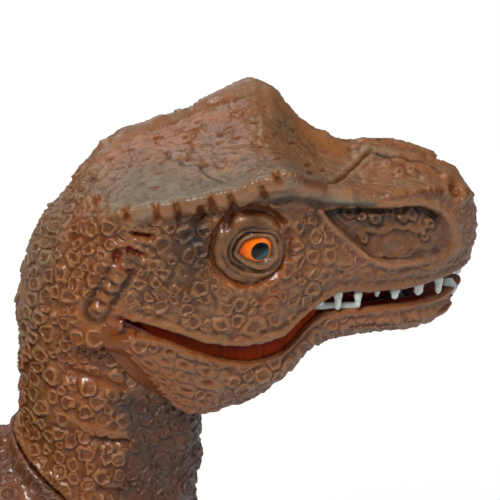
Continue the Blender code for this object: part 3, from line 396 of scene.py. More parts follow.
class Scales:
    """Scales over a casting. For each point: the distance from its scale's
    centre in scale sizes, the distance from the border with the next scale, a
    random number of its scale, and lean, from -1 to 1 across the scale."""

    def __init__(self, points, spacing, seed, spread=0.25, placed=(), warp=0.12, low_side=(-0.5, 0, -0.86)):
        centres, radii = scatter(points, spacing, seed, spread, placed)
        bend = [lumps(points, spacing * 0.45, seed + turn) for turn in (1, 2, 3)]
        points = points + warp * spacing * np.stack(bend, axis=1)
        cell = spacing * (1 + spread)
        corner = np.floor(centres / cell).astype(np.int64) + GRID_SIDE // 2
        key = (corner[:, 0] * GRID_SIDE + corner[:, 1]) * GRID_SIDE + corner[:, 2]
        order = np.argsort(key, kind="stable")
        cells, starts, counts = np.unique(key[order], return_index=True, return_counts=True)
        home = np.floor(points / cell).astype(np.int64) + GRID_SIDE // 2
        count = len(points)
        best = np.full(count, 3.0)
        second = np.full(count, 4.0)
        first = np.zeros(count, int)
        for dx in (-1, 0, 1):
            for dy in (-1, 0, 1):
                for dz in (-1, 0, 1):
                    wanted = ((home[:, 0] + dx) * GRID_SIDE + home[:, 1] + dy) * GRID_SIDE + home[:, 2] + dz
                    at = np.minimum(np.searchsorted(cells, wanted), len(cells) - 1)
                    held = np.where(cells[at] == wanted, counts[at], 0)
                    for step in range(held.max()):
                        some = np.nonzero(held > step)[0]
                        index = order[starts[at[some]] + step]
                        share = np.linalg.norm(points[some] - centres[index], axis=1) / radii[index]
                        closer = share < best[some]
                        second[some] = np.where(closer, best[some], np.minimum(second[some], share))
                        first[some] = np.where(closer, index, first[some])
                        best[some] = np.where(closer, share, best[some])
        self.share = best
        self.border = (second - best) * radii[first]
        numbers = np.random.default_rng(seed + 9).uniform(0, 1, len(centres))
        numbers[:len(placed)] = 0.85
        self.number = numbers[first]
        offset = points - centres[first]
        self.lean = offset @ np.array(low_side) / (np.linalg.norm(offset, axis=1) + 0.05)

    def rings(self):
        """Round scales with a raised rim, higher on one side, and in its middle
        a dimple or a nub."""
        pad = 1 - fade(self.share, 0.85, 1.15)
        rim = hump(self.share - 0.72, 0.22) * (0.85 + 0.5 * self.lean)
        dimpled = fade(self.number, 0.55, 0.65)
        middle = hump(self.share, 0.34) * (0.30 - 0.55 * dimpled)
        force = 0.55 + 0.6 * np.abs(self.number * 2 - 1)
        return (0.36 * pad + 0.66 * rim + middle) * fade(self.border, 0.0, 0.40) * force - 0.18

    def shingles(self, groove=0.3):
        """Crescents, like wet flakes that lift on one side."""
        lift = np.clip(0.5 + 0.5 * self.lean, 0, 1) * np.clip(self.share, 0, 1)
        return fade(self.border, 0.0, groove) * (0.30 + 0.85 * lift) - 0.40


def choose(*pieces):
    """Select these pieces alone, with the first one active."""
    bpy.ops.object.select_all(action="DESELECT")
    bpy.context.view_layer.objects.active = pieces[0]
    for piece in pieces:
        piece.select_set(True)


def hang(piece, body, node):
    """Give a piece its body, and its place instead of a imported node."""
    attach(piece, body)
    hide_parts(node)


def colour_layer(mesh, name, *channels):
    """Keep four masks in a mesh, each one number or a number for each point."""
    values = np.empty((len(mesh.vertices), 4))
    for number, channel in enumerate(channels):
        values[:, number] = channel
    layer = mesh.attributes.new(name, "FLOAT_COLOR", "POINT")
    layer.data.foreach_set("color", np.clip(values, 0, 1).ravel())


def touch_tree(mesh):
    """A search tree of a mesh's faces, for what touches or is hit."""
    return BVHTree.FromPolygons([vertex.co.copy() for vertex in mesh.vertices],
                                [tuple(face.vertices) for face in mesh.polygons])


class Casting:
    """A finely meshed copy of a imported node. Its points, in millimetres, are
    carved by lifting them along their normals, and then painted."""

    def __init__(self, name, node, voxel, fillers=(), sharp_deg=60):
        self.node = node
        self.piece = bpy.data.objects.new(name, frame["nodes"][node].data.copy())
        bpy.context.collection.objects.link(self.piece)
        self.piece.data.materials.clear()
        choose(self.piece)
        bpy.ops.object.mode_set(mode="EDIT")
        bpy.ops.mesh.select_all(action="SELECT")
        bpy.ops.mesh.remove_doubles(threshold=0.00001)
        bpy.ops.object.mode_set(mode="OBJECT")
        self.sharp = self.find_sharp(math.radians(sharp_deg))
        if fillers:
            choose(self.piece, *fillers)
            bpy.ops.object.join()
        even = self.piece.modifiers.new("even", "REMESH")
        even.mode = "VOXEL"
        even.voxel_size = voxel * MM
        bpy.ops.object.modifier_apply(modifier=even.name)
        self.read()

    def find_sharp(self, limit, spacing=0.5):
        """Points along the hard edges, which softening leaves alone."""
        mesh = self.piece.data
        spots = []
        faces_of = {}
        for face in mesh.polygons:
            for key in face.edge_keys:
                faces_of.setdefault(key, []).append(face.normal)
        for ends, normals in faces_of.items():
            if len(normals) == 2 and normals[0].angle(normals[1], 0) > limit:
                start, end = (np.array(mesh.vertices[number].co) / MM for number in ends)
                steps = max(2, int(np.linalg.norm(end - start) / spacing))
                spots += [start + (end - start) * share for share in np.linspace(0, 1, steps)]
        return np.array(spots)

    def read(self):
        mesh = self.piece.data
        places, ways = np.empty((2, len(mesh.vertices) * 3))
        mesh.vertices.foreach_get("co", places)
        mesh.vertices.foreach_get("normal", ways)
        self.points = places.reshape(-1, 3) / MM
        self.normals = ways.reshape(-1, 3)
        edges = np.empty(len(mesh.edges) * 2, int)
        mesh.edges.foreach_get("vertices", edges)
        self.edges = edges.reshape(-1, 2)
        self.neighbours = np.bincount(edges, minlength=len(self.points))

    def keep_largest(self, spot):
        """Delete all but the shell that holds the point nearest to spot."""
        nearest = int(np.argmin(np.linalg.norm(self.points - np.array(spot), axis=1)))
        choose(self.piece)
        bpy.ops.object.mode_set(mode="EDIT")
        bpy.ops.mesh.select_mode(type="VERT")
        bpy.ops.mesh.select_all(action="DESELECT")
        bpy.ops.object.mode_set(mode="OBJECT")
        self.piece.data.vertices[nearest].select = True
        bpy.ops.object.mode_set(mode="EDIT")
        bpy.ops.mesh.select_linked()
        bpy.ops.mesh.select_all(action="INVERT")
        bpy.ops.mesh.delete(type="VERT")
        bpy.ops.object.mode_set(mode="OBJECT")
        self.read()

    def free_share(self, close=0.5, far=3.0):
        """0 near the hard edges, 1 away from them."""
        if len(self.sharp) == 0:
            return np.ones(len(self.points))
        tree = KDTree(len(self.sharp))
        for index, spot in enumerate(self.sharp):
            tree.insert(spot, index)
        tree.balance()
        return fade(np.array([tree.find(spot)[2] for spot in self.points]), close, far)

    def around(self, values):
        """Mean of the values at each point's neighbours."""
        first, second = self.edges.T
        count = len(self.points)
        total = np.bincount(first, values[second], count) + np.bincount(second, values[first], count)
        return total / self.neighbours

    def soften(self, rounds, hold):
        """Even out facets, without shrinking the shape."""
        for _ in range(rounds):
            for push in (0.52, -0.535):
                move = np.stack([self.around(line) for line in self.points.T], axis=1) - self.points
                self.points = self.points + move * (push * hold)[:, None]
        self.write()

    def write(self):
        self.piece.data.vertices.foreach_set("co", (self.points * MM).ravel())
        self.piece.data.update()
        self.read()

    def lift(self, heights):
        self.points = self.points + self.normals * heights[:, None]
        self.write()

    def blur(self, values, rounds):
        for _ in range(rounds):
            values = 0.4 * values + 0.6 * self.around(values)
        return values

    def lumps(self, size, seed=0, stretch=(1, 1, 1)):
        return lumps(self.points * np.array(stretch), size, seed)

    def gap_from(self, spot):
        """Distance from a spot given by x and z, seen from the side."""
        return np.hypot(self.points[:, 0] - spot[0], self.points[:, 2] - spot[1])

    def paint(self, name, *channels):
        colour_layer(self.piece.data, name, *channels)

    def paint_scales(self, scales, shown):
        """Keep the scales for the material, halved to stay under 1."""
        self.paint("scales", scales.share / 2, scales.border / 2, scales.number, shown)

    def finish(self, finish, body, slot, most=150000):
        """Thin the mesh where it is plain, and hang it on its body."""
        choose(self.piece)
        triangles = sum(len(face.vertices) - 2 for face in self.piece.data.polygons)
        if triangles > most:
            thin = self.piece.modifiers.new("thin", "DECIMATE")
            thin.ratio = most / triangles
            bpy.ops.object.modifier_apply(modifier=thin.name)
        self.piece.data.shade_smooth()
        self.piece.data.materials.append(finish)
        hang(self.piece, body, self.node)


# Paint of the skins: a dark ochre plastic under sprayed brown, with a grey wash
OCHRE = tint(150, 74, 6)
RUST = tint(96, 42, 4)
SKIN_BROWN = tint(137, 91, 50)
SKIN_RAISED = tint(160, 114, 76)
SKIN_HOLLOW = tint(58, 26, 2)
SKIN_ROSE = tint(142, 94, 64)
WASH_GREEN = tint(118, 120, 102)
# Dark paint, also laid as painted shade in grooves, hollows and under overhangs
DARK_PAINT_AND_SHADE = tint(34, 20, 8)
# Purple-grey painted shade, for the front of the neck, the throat and the jaw's underside
PURPLE_GREY_SHADE = tint(62, 44, 36)
MOUTH_DEEP = tint(84, 8, 2)
MOUTH_LIT = tint(130, 36, 6)
PORE_SIZE = 0.6


def skin_finish(name, base, raised, hollow, rough):
    """Sprayed skin: the paint layers follow the carved heights and masks, and
    the scales' rims, dimples and seams are drawn finer than the mesh."""
    made, shader, place = new_finish(name)

    def layer(attribute):
        found = place.make("ShaderNodeAttribute", {"attribute_name": attribute})
        parts = place.make("ShaderNodeSeparateColor", None, {0: found}).socket.node.outputs
        alpha = found.socket.node.outputs["Alpha"]
        return [Wire(place.tree, socket) for socket in (parts[0], parts[1], parts[2], alpha)]

    high, wash, dark, ember = layer("layers")
    rose, purple_shade, mouth, gloss = layer("tones")
    share, border, number, ringed = layer("scales")
    cloud = speckle(place, 7, 4.0, 0.6)
    mottle = speckle(place, 1.5, 3.0, 0.6)
    dust = speckle(place, 0.45, 2.0, 0.6)
    rim = (share * 2 - 0.74).bell(0.20)
    moat = (share * 2 - 0.44).bell(0.17)
    dimple = (share * 2).bell(0.26) * number.ease(0.55, 0.65)
    seam = 1 - (border * 2).ease(0.0, 0.5)
    ring = (rim * 0.8 - moat * 0.5 - dimple * 0.4 - seam * 0.6) * ringed
    level = high + ring * 0.14 + (mottle - 0.5) * 0.45 + (cloud - 0.5) * 0.45
    colour = level.ease(0.28, 0.66).between(hollow, base)
    crest = (level + (dust - 0.5) * 0.4).ease(0.68, 1.05)
    colour = (crest * 0.75).between(colour, raised)
    colour = (rose * (0.45 + mottle * 0.5)).clamp().between(colour, SKIN_ROSE)
    # Purple-grey painted shade where the surface gets little light
    colour = (purple_shade * (0.7 + high * 0.4)).clamp().between(colour, PURPLE_GREY_SHADE)
    cover = (wash * (level * 1.3 + mottle * 0.5 - 0.35)).clamp()
    colour = cover.between(colour, WASH_GREEN)
    colour = (ember * (1.15 - level * 0.55)).clamp().between(colour, OCHRE)
    rust = (moat * 0.55 + seam * 0.60 + dimple * 0.5) * ringed * (mottle.ease(0.25, 0.6) * 0.7 + 0.3)
    colour = rust.clamp().between(colour, RUST)
    # The dark layer: dark paint, and painted shade laid on thicker where the relief is low
    colour = (dark * (1.15 - level * 0.45 + (mottle - 0.5) * 0.3)).clamp().between(colour, DARK_PAINT_AND_SHADE)
    inner = (dust * 0.5 + cloud * 0.5).ease(0.35, 0.75).between(MOUTH_DEEP, MOUTH_LIT)
    colour = mouth.between(colour, inner)
    feed(colour, shader, "Base Color")
    dull = rough + (cloud - 0.5) * 0.16 + (1 - level) * 0.08 + wash * 0.12 - gloss * 0.14
    feed(dull.clamp(), shader, "Roughness")
    pores = place.make("ShaderNodeTexVoronoi", None, {"Vector": place, "Scale": 1 / (PORE_SIZE * MM)})
    fine = pores * 0.22 + dust * (wash * 0.8 + 0.35) + mottle * 1.2
    roughen(ring * 0.8 + fine * (1 - gloss * 0.7), shader, 0.9, 0.30)
    feed((0.32 - wash * 0.26 - rose * 0.08).clamp(), shader, "Coat Weight")
    settle(shader, {"Specular IOR Level": 0.36, "Coat Roughness": 0.13, "Subsurface Weight": 0.04,
                    "Subsurface Radius": (0.9, 0.4, 0.2), "Subsurface Scale": 1.2 * MM})
    return made


body_finish = skin_finish("hide_grey_brown", tint(104, 78, 62), tint(132, 108, 92), tint(84, 48, 24), 0.42)

# The torso's places, in millimetres
MIDDLE_X = 17.9
SPINE_Z = 96.0
TORSO_LENGTH = 106
HIP_SPOT = (29.1, 86.0)
HIP_POCKET = 25.4
SHOULDER_SPOT = (82.1, 80.0)
SHOULDER_POCKET = 10.6
SIDES = (("right", -1), ("left", 1))
BODY_GRAIN = 1.0


def hide_relief(cast, spacing, height, seed):
    """Scales, wrinkles and lumps of the body's hide, in millimetres, with the
    scales and where they show."""
    scales = Scales(cast.points, spacing, seed, 0.34)
    mix = fade(cast.lumps(16, seed), -0.7, 0.0)
    fine = cast.lumps(spacing * 0.32, seed + 1)
    return height * (scales.rings() * mix * 1.3 + fine * 0.16 * (1.3 - mix)), scales, mix


def body_tones(cast, relief, height, rusty=0):
    """Paint masks of a body piece from its relief, which way it faces and
    where it is rusty."""
    top = fade(cast.normals[:, 2], 0.2, 0.9)
    patch = fade(cast.lumps(11, 3), -0.1, 0.6) * (1 - rusty)
    dark = fade(cast.lumps(19, 5), 0.1, 0.8) * 0.5 * (1 - top)
    more(dark, rusty * (0.35 + 0.4 * cast.lumps(2.5, 6)))
    ember = fade(cast.lumps(9, 9), 0.2, 0.9) * 0.5
    more(ember, rusty * (0.5 + 0.4 * cast.lumps(2, 7)))
    cast.paint("layers", 0.56 + relief / height * 0.5, top * patch * 0.6, dark, ember)
    cast.paint("tones", fade(cast.normals[:, 2], -0.1, -0.9) * 0.5 + top * 0.4, 0, 0, 0)


def knuckles(along, spacing):
    """A row of rounded bumps along a line, from 0 to 1."""
    return np.abs(np.sin(along / spacing * math.pi))


SPINE_BUMP = 3.1 * math.pi
HIDE_HEIGHT = 0.42
NECK_DIP = 2.8
for side, sign in SIDES:
    half = Casting(f"torso_skin_{side}", f"torso_{side}_half", 0.66 * BODY_GRAIN)
    free = half.free_share()
    half.soften(45, free)
    (x, y, z), (_, ny, nz) = half.points.T, half.normals.T
    along = (x + MIDDLE_X) / TORSO_LENGTH
    outward = y * sign
    from_spine = z - SPINE_Z
    outer = fade(ny * sign * outward / 28 + nz * from_spine / 32, 0.05, 0.35)
    hip_gap = half.gap_from(HIP_SPOT)
    clear = fade(hip_gap, HIP_POCKET, HIP_POCKET + 2)
    clear *= fade(half.gap_from(SHOULDER_SPOT), SHOULDER_POCKET, SHOULDER_POCKET + 1.5)
    seam = fade(outward, 0.2, 0.9)
    relief, hide, shown = hide_relief(half, 2.9, HIDE_HEIGHT, 21)
    ribs = np.sin((x + from_spine * 0.35) / 7.0 * math.pi) * fade(outward, 8, 20)
    ribs = ribs * hump(along - 0.62, 0.22) * 0.35
    wrinkle = -hump(hip_gap - 29, 1.0) * 0.5 - hump(hip_gap - 32.5, 1.0) * 0.35
    spine_row = hump(outward, 2.4) * fade(from_spine, 15, 24) * (0.35 + 0.5 * knuckles(x, SPINE_BUMP))
    by_neck = fade(along, 0.66, 0.76) * fade(along, 0.95, 0.88) * fade(nz, 0.2, 0.8)
    carve = (relief + wrinkle * (0.6 + 0.4 * half.lumps(5, 4)) + ribs) * seam
    carve += spine_row * seam * (1 - by_neck) - NECK_DIP * by_neck
    half.lift(carve * outer * clear * free)
    rusty = fade(along, 0.68, 0.80) * fade(half.normals[:, 2], -0.2, 0.5)
    body_tones(half, relief, HIDE_HEIGHT, rusty)
    half.paint_scales(hide, shown * outer * clear)
    half.finish(body_finish, "torso", "body_skin")

# Legs: one soft casting each, thigh to toes, pushed on a plug at the hip
FOOT_ROOT_X = 33.4
FOOT_LENGTH = 54.0
LEG_ASIDE = 30.0
LEG_HEIGHT = 0.40
for side, sign in SIDES:
    leg = Casting(f"leg_skin_{side}", f"leg_{side}", 0.60 * BODY_GRAIN, sharp_deg=75)
    free = leg.free_share(0.4, 2.2)
    leg.soften(25, free)
    (x, y, z), (nx, ny, _) = leg.points.T, leg.normals.T
    outward = y * sign
    inner_face = fade(ny * -sign, 0.5, 0.8) * fade(outward, 23, 22)
    hub = fade(outward, 28.5, 26) * fade(leg.gap_from(HIP_SPOT), 25, 23.6)
    clear = (1 - np.clip(inner_face + hub, 0, 1)) * fade(z, 0.05, 1.2)
    from_ankle = np.hypot(x - FOOT_ROOT_X, outward - LEG_ASIDE)
    low = fade(z, 15, 9)
    claw = low * fade(from_ankle, FOOT_LENGTH * 0.74, FOOT_LENGTH * 0.80)
    claw = np.clip(claw + low * fade(FOOT_ROOT_X - x, 12, 14), 0, 1)
    relief, hide, shown = hide_relief(leg, 2.5, LEG_HEIGHT, 31)
    toes = low * fade(x, FOOT_ROOT_X + 4, FOOT_ROOT_X + 12) * (1 - claw)
    shin = fade(nx, 0.2, 0.8) * fade(z, 44, 30) * (1 - low)
    bands = knuckles(from_ankle, 6.4) * toes + knuckles(z, 6.0) * shin
    ankle_fold = -hump(z - 13, 0.8) * 0.35 - hump(z - 21, 0.8) * 0.3
    scaled = (1 - shin * 0.7) * (1 - claw)
    relief = relief * (1 - toes * 0.8) * scaled + bands * 0.5 - toes * 0.2
    relief = relief + ankle_fold * fade(-nx, -0.2, 0.5) * (1 - low * 0.5)
    leg.lift(relief * clear * free)
    wash = fade(leg.lumps(11, 3), 0.0, 0.6) * 0.5 * (1 - claw)
    ember = fade(leg.lumps(9, 9), 0.35, 0.9) * 0.5 * (1 - claw)
    # Claws are dark paint; the leg also darkens towards the floor, a painted shade.
    claws_and_low_shade = claw * 0.9 + fade(leg.points[:, 2], 34, 6) * 0.25
    leg.paint("layers", 0.5 + relief / LEG_HEIGHT * 0.5, wash, claws_and_low_shade, ember)
    leg.paint("tones", fade(leg.normals[:, 2], -0.1, -0.9) * 0.5, 0, 0, claw)
    leg.paint_scales(hide, shown * clear * (1 - toes) * scaled)
    leg.finish(body_finish, f"{side}_leg", "body_skin")

# Arms: small castings with two claws, pushed on plugs at the shoulders
ARM_HEIGHT = 0.24
for side, sign in SIDES:
    arm = Casting(f"arm_skin_{side}", f"arm_{side}", 0.38 * BODY_GRAIN, sharp_deg=75)
    free = arm.free_share(0.3, 1.4)
    arm.soften(14, free)
    outward = arm.points[:, 1] * sign
    clear = 1 - fade(arm.normals[:, 1] * -sign, 0.5, 0.8) * fade(outward, 18.4, 17.8)
    clear *= fade(outward, 18.5, 20.0)
    claw = fade(arm.points[:, 0], 104.0, 106.5)
    relief, hide, shown = hide_relief(arm, 1.8, ARM_HEIGHT, 41)
    relief *= 1 - claw
    arm.lift(relief * clear * free)
    ember = fade(arm.lumps(7, 9), 0.35, 0.9) * 0.5 * (1 - claw)
    wash = fade(arm.lumps(8, 3), 0.0, 0.6) * 0.4
    arm.paint("layers", 0.5 + relief / ARM_HEIGHT * 0.5, wash, claw * 0.9, ember)
    arm.paint("tones", 0, 0, 0, claw)
    arm.paint_scales(hide, shown * clear * (1 - claw))
    arm.finish(body_finish, f"{side}_arm", "body_skin")

# Tail: one hollow casting that turns on a spool at its seam with the torso
TAIL_LENGTH = 147
TAIL_DROP = 70
DROP_PLACES = [0, 0.18, 0.39, 0.60, 0.80, 0.94, 1.0]
DROP_SHARES = [0, 0.10, 0.28, 0.52, 0.77, 0.95, 1.0]
TAIL_SEAM_LEAN = math.radians(15)
TAIL_HEIGHT = 0.40
tail = Casting("tail_skin", "tail", 0.66 * BODY_GRAIN)
free = tail.free_share()
tail.soften(40, free)
(x, y, z), (_, ny, nz) = tail.points.T, tail.normals.T
back = (-MIDDLE_X - x) / TAIL_LENGTH
axis_z = SPINE_Z - TAIL_DROP * np.interp(back, DROP_PLACES, DROP_SHARES)
outer = fade(ny * y + nz * (z - axis_z), 0.2, 1.5)
seam_gap = -(x + MIDDLE_X) * math.cos(TAIL_SEAM_LEAN) - (z - SPINE_Z) * math.sin(TAIL_SEAM_LEAN)
relief, hide, shown = hide_relief(tail, 2.8, TAIL_HEIGHT, 51)
rings = -hump(np.sin(seam_gap / 6.5 * math.pi), 0.16) * 0.28 * fade(nz, 0.8, 0.2)
spine_row = hump(y, 1.6) * fade(nz, 0.3, 0.8) * (0.3 + 0.5 * knuckles(x, SPINE_BUMP)) * fade(back, 1.0, 0.8)
tail.lift((relief + rings + spine_row) * outer * free * fade(seam_gap, 0.6, 2.0))
body_tones(tail, relief, TAIL_HEIGHT)
tail.paint_scales(hide, shown * outer)
tail.finish(body_finish, "tail", "body_skin")

# Head and neck: one casting of soft plastic, carved with ring scales, a
# knobbly brow, deep eye rims and a hollowed snout, and sprayed in layers.
# It turns on the neck spool, in the collar of the torso.
HEAD_X = 118.9
HEAD_Z = 149.98
EYE_SPOT = np.array([HEAD_X - 2, 12.9, HEAD_Z + 9.7])
EYE_R = 5.2
LID_R = 5.85
NECK_LEAN = math.radians(50)
NECK_SEAM = np.array([88.1, 0.0, 96.48])
NECK_WAY = np.array([math.cos(NECK_LEAN), 0.0, math.sin(NECK_LEAN)])
HINGE = np.array([88.9, 0.0, 143.98])

fillers = []
for side, sign in SIDES:
    spot = Vector(EYE_SPOT * (1, sign, 1)) * MM
    bpy.ops.mesh.primitive_uv_sphere_add(segments=48, ring_count=24, radius=LID_R * MM, location=spot)
    fillers.append(bpy.context.object)
# Fillers of the bores at the neck and the jaw: sides, radius, length, middle, turn
BORE_FILLERS = ((48, 6.7, 12, NECK_SEAM + NECK_WAY * 3, (0, math.pi / 2 - NECK_LEAN, 0)),
                (24, 2.4, 30, HINGE, (math.pi / 2, 0, 0)))
for sides, radius, length, spot, turn in BORE_FILLERS:
    bpy.ops.mesh.primitive_cylinder_add(vertices=sides, radius=radius * MM, depth=length * MM,
                                        location=Vector(spot) * MM, rotation=turn)
    fillers.append(bpy.context.object)
for filler in fillers:
    choose(filler)
    bpy.ops.object.transform_apply(location=True, rotation=True, scale=True)

head = Casting("head_skin", "head_and_neck", 0.36, fillers, sharp_deg=80)
head.keep_largest((HEAD_X + 46, 0, HEAD_Z + 3))
head.soften(14, head.free_share(0.3, 1.6))


def from_datum(cast):
    """Places ahead, to a side and above the head's datum, in millimetres."""
    return cast.points[:, 0] - HEAD_X, np.abs(cast.points[:, 1]), cast.points[:, 2] - HEAD_Z


def facing(points, normals):
    """How squarely a surface faces the camera, from -1 to 1."""
    toward = np.array(viewpoint) / MM - points
    return (normals * toward).sum(axis=1) / np.linalg.norm(toward, axis=1)


class NearSide:
    """What the camera sees of a casting: places on it by photograph pixels.
    The far side is folded onto the near one, so both are carved alike."""

    def __init__(self, cast):
        self.tree = touch_tree(cast.piece.data)
        self.real = cast.points
        self.points = cast.points * (1, 0, 1) - np.abs(cast.points) * (0, 1, 0)
        mirror = -np.sign(cast.points[:, 1] + 1e-9)
        normals = np.stack([cast.normals[:, 0], cast.normals[:, 1] * mirror, cast.normals[:, 2]], axis=1)
        self.across, self.down = photo_spots(self.points)
        self.facing = facing(self.points, normals)
        self.seen_across, self.seen_down = photo_spots(self.real)
        self.seen = facing(self.real, cast.normals) > 0

    def inside(self, outline):
        return inside_by(self.across, self.down, outline)

    def inside_seen(self, outline):
        """Like inside, without folding the far side."""
        return inside_by(self.seen_across, self.seen_down, outline)

    def spot(self, column, row):
        """Place on the casting, in millimetres, under a pixel."""
        hit = self.tree.ray_cast(viewpoint, sight_line(column, row))[0]
        return None if hit is None else np.array(hit) / MM

    def path(self, stops, steps=4):
        found = [self.spot(*stop) for stop in smooth_path(stops, steps)]
        return np.array([spot for spot in found if spot is not None])

    def reach(self, stops, steps=4):
        return reach(self.points, self.path(stops, steps))

    def mark(self, stops, steps=4):
        """Like reach, on the seen side only."""
        return reach(self.real, self.path(stops, steps))

    def placed(self, rings):
        """Scales given by column, row and radius in pixels, on both sides."""
        spots = []
        for column, row, size in rings:
            spot = self.spot(column, row)
            if spot is not None:
                radius = size * PIXEL / MM
                spots += [(spot, radius), (spot * np.array([1, -1, 1]), radius)]
        return spots


# The snout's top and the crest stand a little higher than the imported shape
CREST = (HEAD_X + 8.5, 17.0, HEAD_Z + 25.0)
hx, hy, hz = from_datum(head)
fuller = 1.25 * fade(hx, 17, 30) * fade(head.normals[:, 2], 0.15, 0.7) * fade(hx, 46, 42)
head.lift(fuller + 1.7 * hump(np.linalg.norm(head.points - CREST, axis=1), 6.5))

near = NearSide(head)
hx, hy, hz = from_datum(head)
sees = fade(near.facing, -0.05, 0.25)
count = len(hx)
layers = {name: np.zeros(count) for name in ("carve", "ember", "dark", "gloss", "mouth", "blood")}
carve, ember, dark, gloss, mouth, blood = layers.values()
calm = np.ones(count)


def work(gap, where=1.0, **effects):
    """Work a line or a spot into the head. Each effect has its strength and
    half width: carve lifts, calm keeps scales away, and the rest is paint,
    of which dark is painted shade in the grooves."""
    for name, (strength, width) in effects.items():
        amount = strength * hump(gap, width) * where
        if name == "carve":
            np.add(carve, amount, out=carve)
        elif name == "calm":
            np.multiply(calm, 1 - amount, out=calm)
        else:
            more(layers[name], amount)


# Regions of the head, 0 to 1
ROOF_PLACES = [-40, -28, -18, -5, 3, 9, 15, 24, 31, 40]
ROOF_HEIGHTS = [16, 19, 21, 23.5, 26, 22, 18, 15.5, 14.5, 13]
is_roof = fade(head.normals[:, 2], 0.35, 0.7) * fade(hz - np.interp(hx, ROOF_PLACES, ROOF_HEIGHTS), -3.5, 0.5)
is_neck = np.clip(fade(hx + 0.25 * hz, -24, -30) + fade(hz, -9, -14), 0, 1) * (1 - is_roof)
is_snout = fade(hx, 9, 16) * (1 - is_roof)
is_cheek = np.clip(1 - is_neck - is_snout - is_roof, 0, 1)
seam_free = fade((head.points - NECK_SEAM) @ NECK_WAY, 0.6, 2.0)

# Mouth: the lip's rows give its edge, and what lies inside it is red
LIP_ROWS = np.array([
    (-39.2, 13.4, -7.6), (-35.2, 16.2, -9.3), (-30.2, 17.0, -9.3), (-27.6, 17.1, -4.2), (-25.0, 17.1, -3.8),
    (-19.0, 18.4, -5.8), (-12.0, 19.0, -8.8), (-5.0, 19.0, -10.7), (3.5, 17.5, -10.0), (9.0, 15.0, -6.5),
    (15.0, 13.2, -3.9), (23.0, 12.5, -4.9), (31.0, 11.6, -5.2), (38.0, 8.0, -5.6), (42.5, 4.6, -6.2),
    (45.0, 2.2, -5.5), (46.0, 1.0, -3.0)])
lip_y = np.interp(hx, LIP_ROWS[:, 0], LIP_ROWS[:, 1])
lip_z = np.interp(hx, LIP_ROWS[:, 0], LIP_ROWS[:, 2])
over_lip = hz - lip_z
lip_gap = np.hypot(hy - lip_y, over_lip)
along_lip = fade(hx, -31, -28) * fade(hy, 1.5, 5)
in_mouth = fade(lip_y - hy, 0.5, 1.3) * fade(over_lip, 6.5, 5.0) * fade(head.normals[:, 2], 0.0, -0.4)
in_mouth *= fade(hx, -29, -27)
more(mouth, in_mouth)
work(lip_gap - 0.8, along_lip * fade(over_lip, -0.2, 0.4), carve=(0.30, 0.6))
work(lip_gap - 2.4, along_lip * fade(over_lip, 0.8, 1.6) * sees, carve=(-0.25, 0.6))
work(lip_gap, along_lip, calm=(1.0, 1.9))

# Eye rims: a groove round the orbit, a mound of lids, and an almond opening
ORBIT = smooth_path([(209, 254), (215, 230), (231, 214), (256, 210), (279, 218), (288, 240), (285, 264),
                     (270, 280), (249, 286), (228, 281), (214, 269), (209, 254)], 4)
ALMOND = smooth_path([(238.2, 253), (244, 243), (250, 239.6), (257, 238), (268, 238.5), (272.4, 245),
                      (272, 254.5), (266.5, 261), (258.5, 263.4), (247.5, 260), (241, 256), (238.2, 253)], 4)
FAR_OUT = -24
OPENING_DEPTH = 1.9
eye_zone = (np.hypot(hx + 2, hz - 9.7) < 13) & (hy > 10)
orbit_in = np.where(eye_zone, near.inside(ORBIT), FAR_OUT)
almond_in = np.where(eye_zone, near.inside(ALMOND), FAR_OUT)
in_orbit = fade(orbit_in, 0, 4)
orbit_low = fade(near.down, 228, 262)
orbit_side = np.clip(orbit_low + fade(near.across, 228, 216), 0, 1)
out = -almond_in
work(orbit_in - 1.5, eye_zone * (0.35 + 0.75 * orbit_side), carve=(-0.95, 3.2))
work(orbit_in + 0.5, 0.15 + 0.75 * orbit_side, ember=(1.0, 4.5))
# The groove round the orbit is darkened: painted shade.
work(orbit_in - 2.5, eye_zone * (0.35 + 0.4 * orbit_side), dark=(1.0, 2.6))
work(orbit_in - 11, in_orbit * orbit_low, carve=(0.55, 6))
bent = out + 1.6 * head.lumps(2.4, 38)
folds = 0.50 * hump(out - 2.6, 1.7)
for offset, height, width, where in ((5.4, -0.38, 1.2, 1), (7.8, 0.24, 1.2, 1), (10.0, -0.30, 1.1, 1),
                                     (12.6, 0.26, 1.8, orbit_low), (16.0, -0.26, 1.4, orbit_low)):
    folds += height * hump(bent - offset, width) * where
carve += (folds + 0.20 * head.lumps(1.5, 37, (1, 1, 1.6))) * in_orbit
open_eye = fade(almond_in, -1.7, 0.4)
carve *= 1 - open_eye
carve -= OPENING_DEPTH * open_eye
# The lids are darkened, most in the hollows between their folds: painted shade.
more(dark, in_orbit * (0.50 + 0.30 * head.lumps(1.6, 33) - folds * 0.4) * fade(out, -0.5, 1.5))
more(dark, fade(almond_in, -2.2, -0.4))
calm *= 1 - 0.75 * fade(orbit_in, -3, 3)

# Brow: a knobbly rim with notches and a horn, over a deep crescent
BROW = [(133, 214), (150, 213), (175, 209), (200, 205), (235, 197), (262, 190), (284, 184), (306, 188),
        (330, 193), (346, 198)]
HORN = (286, 181)
gap, share = near.reach(BROW)
horn_gap = np.linalg.norm(near.points - near.spot(*HORN), axis=1)
work(gap, (0.85 + 0.55 * head.lumps(2.6, 35)) * fade(share, -0.02, 0.05), carve=(1.25, 2.0))
work(gap, calm=(0.9, 2.4))
work(horn_gap, carve=(0.55, 2.2))
brow = hump(gap, 2.4)
gloss += brow * 0.8 + hump(horn_gap, 2.4) * 0.6
